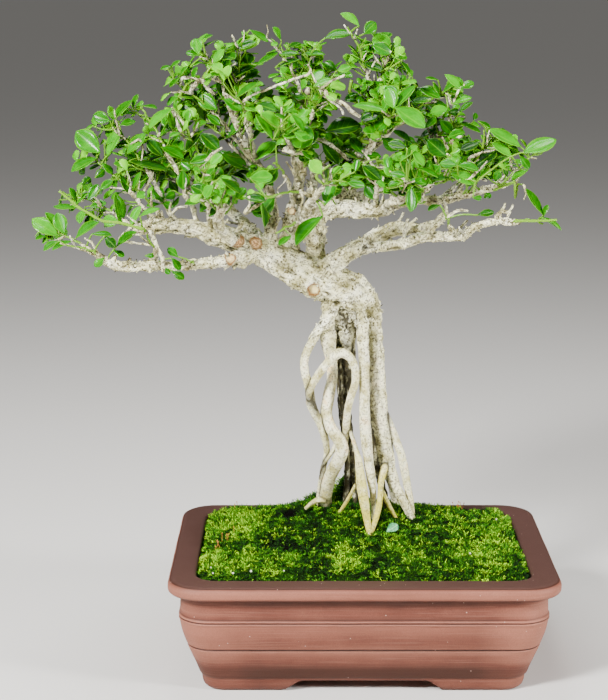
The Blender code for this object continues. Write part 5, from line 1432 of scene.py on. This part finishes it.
# Leaves seen in the photograph: foot and tip in pixels, the width they show there, and how
# light they are from 0 to 1, where that isn't 0.5
LEAVES_SEEN = [
    (100, 153, 76, 131, 24, .72), (97, 158, 72, 170, 11, .6), (110, 121, 93, 115, 14, .6),
    (113, 120, 131, 100, 8), (107, 156, 119, 130, 12, .8), (127, 154, 145, 134, 12, .7),
    (120, 125, 135, 121, 8), (133, 108, 138, 95, 6), (173, 108, 149, 127, 9, .8),
    (143, 106, 157, 108, 4), (163, 157, 147, 140, 14, .25), (161, 147, 184, 158, 12),
    (129, 161, 168, 170, 9, .25), (183, 170, 183, 189, 14), (217, 110, 197, 94, 17, .65),
    (207, 115, 220, 125, 10), (198, 54, 196, 38, 14, .8), (201, 55, 186, 53, 7),
    (202, 40, 212, 35, 4), (193, 80, 197, 67, 6), (180, 77, 170, 87, 5), (172, 66, 161, 69, 4),
    (170, 68, 180, 61, 4, .6), (180, 76, 187, 66, 4, .6), (190, 67, 200, 62, 4, .6),
    (178, 97, 193, 97, 4), (163, 202, 155, 187, 14, .6), (164, 198, 175, 194, 9),
    (163, 203, 173, 207, 9), (160, 204, 147, 205, 5), (120, 225, 116, 194, 13, .8),
    (119, 222, 102, 220, 13, .9), (131, 226, 141, 207, 9, .9), (140, 216, 159, 208, 6, .8),
    (76, 238, 98, 222, 10, .55), (92, 234, 112, 236, 6), (105, 236, 115, 247, 11, .25),
    (117, 246, 135, 231, 9), (64, 234, 57, 213, 15, .7), (58, 236, 32, 218, 18, .9),
    (60, 232, 46, 212, 10, .7), (58, 241, 44, 250, 7, .6), (72, 241, 53, 250, 6),
    (76, 208, 53, 207, 6, .6), (75, 201, 70, 188, 7, .6), (75, 205, 87, 193, 5, .6),
    (82, 185, 90, 178, 9, .25), (95, 178, 104, 170, 9, .4), (102, 163, 112, 174, 8),
    (88, 200, 98, 185, 12), (100, 190, 112, 181, 9), (90, 207, 106, 203, 9),
    (120, 175, 128, 192, 8), (133, 190, 140, 172, 6), (114, 250, 124, 257, 7),
    (145, 256, 154, 256, 5), (178, 257, 168, 248, 9), (172, 258, 180, 270, 9, .45),
    (172, 271, 184, 279, 9, .4), (164, 268, 170, 274, 6), (104, 258, 95, 266, 9, .7),
    (200, 212, 206, 202, 9), (208, 216, 219, 208, 9), (185, 152, 201, 130, 10, .25),
    (200, 133, 219, 150, 16, .25), (190, 163, 209, 157, 12, .4), (203, 182, 214, 168, 7),
    (180, 162, 190, 170, 10), (165, 170, 177, 177, 6), (224, 100, 218, 82, 9),
    (224, 99, 242, 110, 13, .6), (228, 137, 243, 120, 12), (215, 142, 243, 131, 6),
    (273, 140, 256, 115, 9, .8), (288, 122, 275, 114, 5), (291, 114, 304, 131, 8, .6),
    (255, 160, 277, 142, 14, .8), (248, 170, 224, 154, 15, .8), (250, 178, 273, 177, 15, .8),
    (220, 178, 240, 193, 9, .25), (243, 197, 266, 201, 10, .25), (262, 203, 266, 226, 7, .3),
    (323, 216, 295, 243, 15), (291, 236, 279, 245, 7), (325, 205, 333, 181, 15, .6),
    (325, 131, 361, 124, 20, .25), (322, 143, 338, 164, 12, .25), (363, 154, 350, 138, 12),
    (363, 156, 381, 157, 9), (382, 138, 398, 150, 14), (378, 200, 366, 186, 15),
    (362, 165, 380, 180, 15, .25), (355, 172, 358, 160, 8), (347, 182, 365, 186, 9),
    (308, 97, 292, 95, 10), (312, 100, 322, 94, 8, .8), (388, 112, 353, 105, 9, .8),
    (359, 26, 341, 13, 9, .9), (364, 34, 376, 22, 13), (372, 44, 391, 53, 14),
    (325, 38, 352, 32, 10), (280, 55, 298, 53, 6), (275, 68, 300, 60, 5), (302, 55, 325, 55, 6),
    (257, 65, 278, 53, 6), (235, 50, 256, 42, 9), (250, 30, 268, 42, 7), (235, 77, 256, 64, 7),
    (236, 98, 258, 82, 7), (337, 70, 325, 62, 10), (314, 86, 333, 80, 8, .8),
    (362, 63, 383, 70, 9, .25), (394, 109, 388, 88, 16, .8), (394, 109, 415, 85, 10, .6),
    (395, 107, 424, 128, 20, .8), (418, 88, 440, 97, 12), (410, 103, 432, 98, 8),
    (463, 92, 446, 74, 9, .9), (461, 88, 474, 82, 9, .6), (443, 93, 457, 80, 5, .6),
    (452, 104, 472, 97, 9, .8), (460, 112, 472, 101, 6), (448, 112, 460, 112, 9, .25),
    (448, 108, 430, 113, 12, .85), (425, 128, 436, 118, 9, .6), (440, 120, 452, 133, 12, .6),
    (448, 137, 464, 132, 11), (447, 157, 428, 140, 18, .35), (420, 138, 436, 130, 7),
    (412, 143, 393, 130, 7), (407, 148, 388, 143, 12, .25), (400, 162, 418, 146, 8, .8),
    (412, 150, 424, 165, 9, .8), (418, 168, 438, 176, 5), (457, 165, 440, 163, 11, .6),
    (458, 165, 478, 170, 10), (450, 173, 476, 182, 13, .8), (448, 178, 432, 180, 7),
    (410, 180, 426, 183, 9), (411, 187, 411, 211, 13, .65), (389, 173, 405, 176, 9),
    (400, 182, 388, 186, 7), (470, 170, 497, 150, 18, .25), (480, 143, 460, 150, 10, .25),
    (512, 157, 493, 143, 10, .9), (521, 147, 490, 130, 12, .8), (523, 153, 557, 140, 16, .8),
    (520, 156, 529, 168, 9), (528, 170, 511, 180, 7, .8), (543, 215, 526, 190, 8),
    (543, 217, 548, 205, 6), (540, 217, 561, 228, 3, .8), (478, 215, 494, 212, 8, .25),
    (473, 198, 482, 198, 6), (484, 198, 491, 194, 7), (440, 205, 428, 210, 6, .25),
    (478, 121, 490, 128, 4), (460, 123, 480, 132, 5), (438, 80, 426, 78, 3),
    (433, 82, 438, 93, 5), (400, 60, 410, 72, 4),
]

# A thin waxy coat gives the upper face a soft gloss over deep green. The lower face is duller.
leaf_skin = finish_named("glossy_leaf", {
    "Roughness": 0.34, "Specular IOR Level": 0.1, "Coat Weight": 0.18, "Coat Roughness": 0.16})
along_share, side_share, tone_share = add_node(leaf_skin, "SeparateXYZ", {
    "Vector": add_node(leaf_skin, "Attribute", attribute_name="leaf_place").outputs["Vector"],
}).outputs
upper_share, stem_share, _ = add_node(leaf_skin, "SeparateXYZ", {
    "Vector": add_node(leaf_skin, "Attribute", attribute_name="leaf_face").outputs["Vector"],
}).outputs
mottle = add_node(leaf_skin, "TexNoise", {
    "Vector": add_node(leaf_skin, "TexCoord").outputs["Object"], "Scale": 1000 / MOTTLE,
    "Detail": 3.0})
mottle_shift = add_node(leaf_skin, "MapRange", {
    "Value": mottle, "From Min": 0.3, "From Max": 0.7, "To Min": -0.08, "To Max": 0.08})
leaf_tone = add_node(leaf_skin, "Math", {0: tone_share, 1: mottle_shift}, operation="ADD")
blade_colour = add_node(leaf_skin, "ValToRGB", {"Fac": leaf_tone}, stops=[
    (0.0, "#021800"), (0.25, "#093A00"), (0.5, "#1C6C00"), (0.75, "#3E9A00"), (1.0, "#7CC400")])
# The midrib, the side veins that run off it toward the tip, and the pale margin
across_leaf = add_node(leaf_skin, "Math", {0: side_share}, operation="ABSOLUTE")
rib = add_node(leaf_skin, "MapRange", {
    "Value": across_leaf, "From Min": 0.09, "From Max": 0.03, "To Max": 0.4})
vein_run = add_node(leaf_skin, "Math", {0: across_leaf, 1: -0.22, 2: along_share},
                    operation="MULTIPLY_ADD")
vein_wave = add_node(leaf_skin, "Math", {0: vein_run, 1: VEINS * math.tau},
                     operation="MULTIPLY")
vein_line = add_node(leaf_skin, "Math", {0: vein_wave}, operation="COSINE")
vein = add_node(leaf_skin, "MapRange", {
    "Value": vein_line, "From Min": 0.86, "From Max": 1.0, "To Max": 0.12})
veins = add_node(leaf_skin, "Math", {0: rib, 1: vein}, operation="MAXIMUM")
veined = add_node(leaf_skin, "Mix", {"Factor": veins, 6: blade_colour, 7: "#6CAE14"},
                  data_type="RGBA")
upper_colour = tinted(leaf_skin, veined, [(across_leaf, 0.86, 1.0, 0.4, "#86C01A")])
lower_colour = add_node(leaf_skin, "Mix", {"Factor": 0.35, 6: upper_colour, 7: "#4C8C18"},
                        data_type="RGBA")
both_faces = add_node(leaf_skin, "Mix", {
    "Factor": upper_share, 6: lower_colour, 7: upper_colour}, data_type="RGBA")
coat(leaf_skin, {
    "Base Color": add_node(leaf_skin, "Mix", {
        "Factor": stem_share, 6: both_faces, 7: "#6E9420"}, data_type="RGBA"),
    "Roughness": add_node(leaf_skin, "MapRange", {
        "Value": upper_share, "To Min": 0.6, "To Max": 0.36}),
    "Normal": add_node(leaf_skin, "Bump", {
        "Height": veins, "Strength": 0.1, "Distance": 0.0005}, invert=True)})


def blade_grid(blade, columns):
    """Gives a leaf's places along and across, its half widths and the faces of its shell."""
    rows, count = len(blade), len(blade) * columns
    faces = []
    for i in range(rows - 1):
        for j in range(columns - 1):
            a, c = i * columns + j, (i + 1) * columns + j + 1
            faces.append((a, a + 1, c, c - 1))
            faces.append((count + c - 1, count + c, count + a + 1, count + a))
    border = (list(range(columns)) + [i * columns + columns - 1 for i in range(1, rows)]
              + [count - 1 - j for j in range(1, columns)]
              + [i * columns for i in reversed(range(1, rows - 1))])
    for a, b in zip(border, border[1:] + border[:1]):
        faces.append((b, a, count + a, count + b))
    along_it, half = np.repeat(blade, columns, axis=0).T
    return along_it, np.tile(np.linspace(-1, 1, columns), rows), half, faces


LARGE_GRID = blade_grid(BLADE, BLADE_COLUMNS)
SMALL_GRID = blade_grid(SMALL_BLADE, SMALL_COLUMNS)


def leaf_shell(foot, heading, face, length, width, fold, curl, tone):
    """Gives the points, faces and marks of one thin leaf."""
    u, v, half, blade_faces = SMALL_GRID if length < SMALL_LEAF else LARGE_GRID
    face = unit(face - heading * (face @ heading))
    side = np.cross(heading, face)
    half = half * width
    rise = (half * abs(v) * math.sin(fold) + curl * length * (u - 0.25) ** 2
            - 0.1 * half * (1 - v ** 2))
    middle = (foot + heading * (length * u)[:, None]
              + side * (half * v * math.cos(fold))[:, None] + face * rise[:, None])
    lift = face * LEAF_THICKNESS / 2
    places = np.stack((np.tile(u, 2), np.tile(v, 2), np.full(2 * len(u), tone)), 1)
    upper = np.zeros((2 * len(u), 3))
    upper[:len(u), 0] = 1.0
    return np.concatenate((middle + lift, middle - lift)), blade_faces, places, upper


def add_stem(number, route, tone=0.55, green=0.75):
    """Adds a green stem to a spray."""
    points, faces = tube(route, 5)
    marks = np.tile((0.5, 0.5, tone, 1.0, green, 0.0), (len(points), 1))
    sprays[number].append((points, faces, marks[:, :3], marks[:, 3:]))


def add_petiole(number, start, end, tone):
    """Adds the thin green stalk of a leaf to a spray."""
    length = np.linalg.norm(end - start)
    if length < 0.4:
        return
    middle = (start + end) / 2 + np.array((0, 0, 0.06 * length))
    radius = PETIOLE_RADIUS * (1.0 if length < 9 else 1.5)
    add_stem(number, smooth_route([(*start, radius * 1.2), (*middle, radius),
                                   (*end, radius * 0.9)], 2.5), tone, 0.7)


def hides_a_seen_leaf(middle, reach):
    """Says whether a leaf there would cover a leaf that the photograph shows."""
    away = np.linalg.norm(seen_middles - pixels_of(middle), axis=1)
    near = away < seen_halves * 0.85 + reach * 0.5
    return (near & (seen_depths > middle[1] - 9)).any()


def grow_shoot(number, route, pairs, size, spacing, tone, start=0.35):
    """Sets pairs of leaves along a green stem, each pair a quarter turn from the next."""
    heading, across, up = frames_along(route[:, :3])
    run = run_of(route)
    quarter = dice.randrange(2)
    leaves_before = len(sprays[number])
    for k in range(pairs):
        at = run[-1] - k * spacing
        if at < start * run[-1] and k:
            break
        index = int(np.searchsorted(run, at).clip(1, len(run) - 1))
        spot, ahead = route[index, :3], heading[index]
        outward = unit(spot - CROWN_MIDDLE)
        for sign in (-1, 1):
            side = sign * (across[index] if (k + quarter) % 2 else up[index])
            aim = unit(side + ahead * dice.uniform(0.4, 0.9)
                       + (0, 0, dice.uniform(-0.15, 0.3)))
            face = ahead * 0.5 + outward * dice.uniform(0.4, 1.1) + (0, -0.75, 0.7)
            face = face + [dice.uniform(-0.45, 0.45) for _ in range(3)]
            length = size * dice.uniform(0.75, 1.1) * PAIR_SIZES[min(k, 4)]
            foot = spot + aim * (1.0 + 0.08 * length)
            # Painted shade darkens the leaves at the back and deep in the crown
            shade = tone + PAIR_TONES[min(k, 4)] + dice.gauss(0.07, 0.17)
            shade -= 0.0028 * max(0.0, spot[1])
            shade -= 0.25 * max(0.0, 1 - np.linalg.norm(spot - CROWN_MIDDLE) / 120)
            shell = leaf_shell(foot, aim, face, length, length * dice.uniform(0.64, 0.82),
                               dice.uniform(-0.05, 0.35), dice.uniform(-0.3, 0.08),
                               min(max(shade, 0.03), 0.85))
            middle = foot + aim * length * 0.55
            if (lies_inside(shell[0]) and inside_crown(pixels_of(middle), 3)
                    and inside_crown(pixels_of(foot + aim * length), -2)
                    and not hides_a_seen_leaf(middle, length / 0.8)):
                sprays[number].append(shell)
                add_petiole(number, spot, foot, tone)
    return len(sprays[number]) > leaves_before


sprays = [[] for _ in SHOOTS]
seen_leaves = []
for base_x, base_y, tip_x, tip_y, wide, *light in LEAVES_SEEN:
    tone = light[0] if light else 0.5
    index = nearest_place((base_x, base_y), twig_places)
    anchor, number = twig_places[index], index // TWIG_POINTS
    gap = np.linalg.norm(pixels_of(anchor) - (base_x, base_y))
    depth = max(anchor[1] - 3.0 - 0.15 * gap, LOW_BOX[1] + 10.0)
    foot, tip = seen_at((base_x, base_y), depth), seen_at((tip_x, tip_y), depth)
    flat = np.linalg.norm(tip - foot)
    width = wide * np.linalg.norm(foot - seen_at((base_x + 1, base_y), depth))
    # A leaf that looks short for its width leans toward the eye or away, and a narrow one
    # is turned on its midrib
    length = max(1.03 * flat, width / 0.72)
    lean = math.sqrt(max(0.0, 1 - (flat / length) ** 2)) * (1 if tip_y > base_y else -1)
    toward = unit(EYE - foot)
    aim = unit(unit(tip - foot) * (flat / length) + toward * lean)
    roll = math.acos(min(1.0, width / (LEAF_SHAPE * length)))
    face = Vector(unit(toward - aim * (toward @ aim)))
    turned = [np.array(Quaternion(Vector(aim), sign * roll) @ face) for sign in (-1, 1)]
    shell = leaf_shell(foot, aim, max(turned, key=lambda option: option[2]), length,
                       min(max(width, LEAF_SHAPE * length * 0.95), 0.8 * length),
                       dice.uniform(0.12, 0.4), dice.uniform(-0.14, 0.05), 0.1 + 0.66 * tone)
    if lies_inside(shell[0]):
        sprays[number].append(shell)
        add_petiole(number, anchor, foot, 0.6)
        seen_leaves.append((base_x, base_y, tip_x, tip_y, depth))
seen_leaves = np.array(seen_leaves)
seen_middles = (seen_leaves[:, :2] + seen_leaves[:, 2:4]) / 2
seen_halves = 0.5 * np.hypot(*(seen_leaves[:, 2:4] - seen_leaves[:, :2]).T)
seen_depths = seen_leaves[:, 4]

for pixels, radius in GREEN_TWIGS:
    route, index = seen_route(pixels, radius)
    if index >= len(twig_places):
        index = nearest_place(pixels[0], twig_places)
    add_stem(index // TWIG_POINTS, crooked(route, 0.3, 1.0), 0.8, 0.9)
for number, stem in enumerate(stems):
    add_stem(number, stem)
    tone = 0.42 + 0.16 * dice.random() + 0.0008 * (stem[-1, 2] - 400)
    grow_shoot(number, stem, SHOOTS[number][0] + 1, 18.0, 11.0, tone, 0.0)
for number, route in side_twigs:
    grow_shoot(number, route, dice.choice((1, 2, 2, 3)), dice.uniform(12.0, 17.5), 6.5,
               0.36 + 0.2 * dice.random())
for number, samples in enumerate(twig_samples):
    for _ in range(SIDE_SHOOTS):
        index = dice.randrange(8, 39)
        at, heading = samples[index], heading_on(samples, index)
        aim = unit(unit(sideways(heading)) + 0.4 * heading + 0.5 * unit(at - CROWN_MIDDLE))
        route = offshoot(at, aim, dice.uniform(8, 20), (0.8, 0.65, 0.5), (0, 0.15), 3.0)
        if (inside_crown(pixels_of(route[-1, :3]), 2) and lies_inside(route[:, :3])
                and grow_shoot(number, route, dice.choice((2, 2, 3)), dice.uniform(12.0, 17.5),
                               6.0, 0.34 + 0.22 * dice.random())):
            add_stem(number, route, 0.5, 0.6)
# Young shoots break from the old limbs inside the crown and half hide them
for name in LEAFY_LIMBS:
    for at in routes[name][6::2, :3]:
        if at[2] < 352:
            continue
        aim = unit(np.array((dice.uniform(-1.1, 1.1), -1.0, dice.uniform(-0.3, 0.9))))
        route = offshoot(at, aim, dice.uniform(12, 26), (0.9, 0.75, 0.5), (0, 0.15), 3.0)
        number = int(np.linalg.norm(twig_places - at, axis=1).argmin()) // TWIG_POINTS
        if (inside_crown(pixels_of(route[-1, :3]), 2)
                and grow_shoot(number, route, 4, dice.uniform(8.5, 13.5), 5.0,
                               0.4 + 0.2 * dice.random())):
            add_stem(number, route, 0.5, 0.6)
for number, parts in enumerate(sprays, 1):
    spray = "spray_" + str(number).zfill(2)
    mesh_piece(spray + "_leaves", *joined([part[:2] for part in parts]), leaf_skin, "leaf",
               [spray], leaf_place=np.concatenate([part[2] for part in parts]),
               leaf_face=np.concatenate([part[3] for part in parts]))

# Fallen leaf
# One small leaf that dropped on the moss in front of the roots. As it dried, it lost its gloss
# and turned a pale bluish green.
# Where its foot lies, where it rests on the moss, and how far it stands off
SHED_PLACE, SHED_REST, SHED_LIFT = (19.5, -27.0), (20.0, -24.0), 3.0
SHED_LENGTH, SHED_WIDTH, SHED_PATCH = 12.0, 8.4, 2.0
shed_skin = finish_named("dried_leaf", {"Roughness": 0.55})
_, shed_side, _ = add_node(shed_skin, "SeparateXYZ", {
    "Vector": add_node(shed_skin, "Attribute", attribute_name="leaf_place").outputs["Vector"],
}).outputs
shed_across = add_node(shed_skin, "Math", {0: shed_side}, operation="ABSOLUTE")
shed_noise = add_node(shed_skin, "TexNoise", {
    "Vector": add_node(shed_skin, "TexCoord").outputs["Object"], "Scale": 1000 / SHED_PATCH,
    "Detail": 4.0})
shed_colour = add_node(shed_skin, "ValToRGB", {"Fac": shed_noise}, stops=[
    (0.35, "#2C7A48"), (0.55, "#4E9E68"), (0.7, "#8CC498")])
coat(shed_skin, {"Base Color": tinted(shed_skin, shed_colour, [
    (shed_across, 0.15, 0.05, 0.5, "#B4D8A8")])})
moss_there = moss_base(*np.array(SHED_REST)[:, None])[0]
shed_points, shed_faces, shed_places, _ = leaf_shell(
    np.array((*SHED_PLACE, moss_there + SHED_LIFT)), unit(np.array((0.75, 0.45, 0.35))),
    np.array((-0.1, -0.75, 0.65)), SHED_LENGTH, SHED_WIDTH, 0.15, -0.1, 0.6)
mesh_piece("fallen_leaf_blade", shed_points, shed_faces, shed_skin, "shed_leaf",
           ["fallen_leaf"], leaf_place=shed_places)
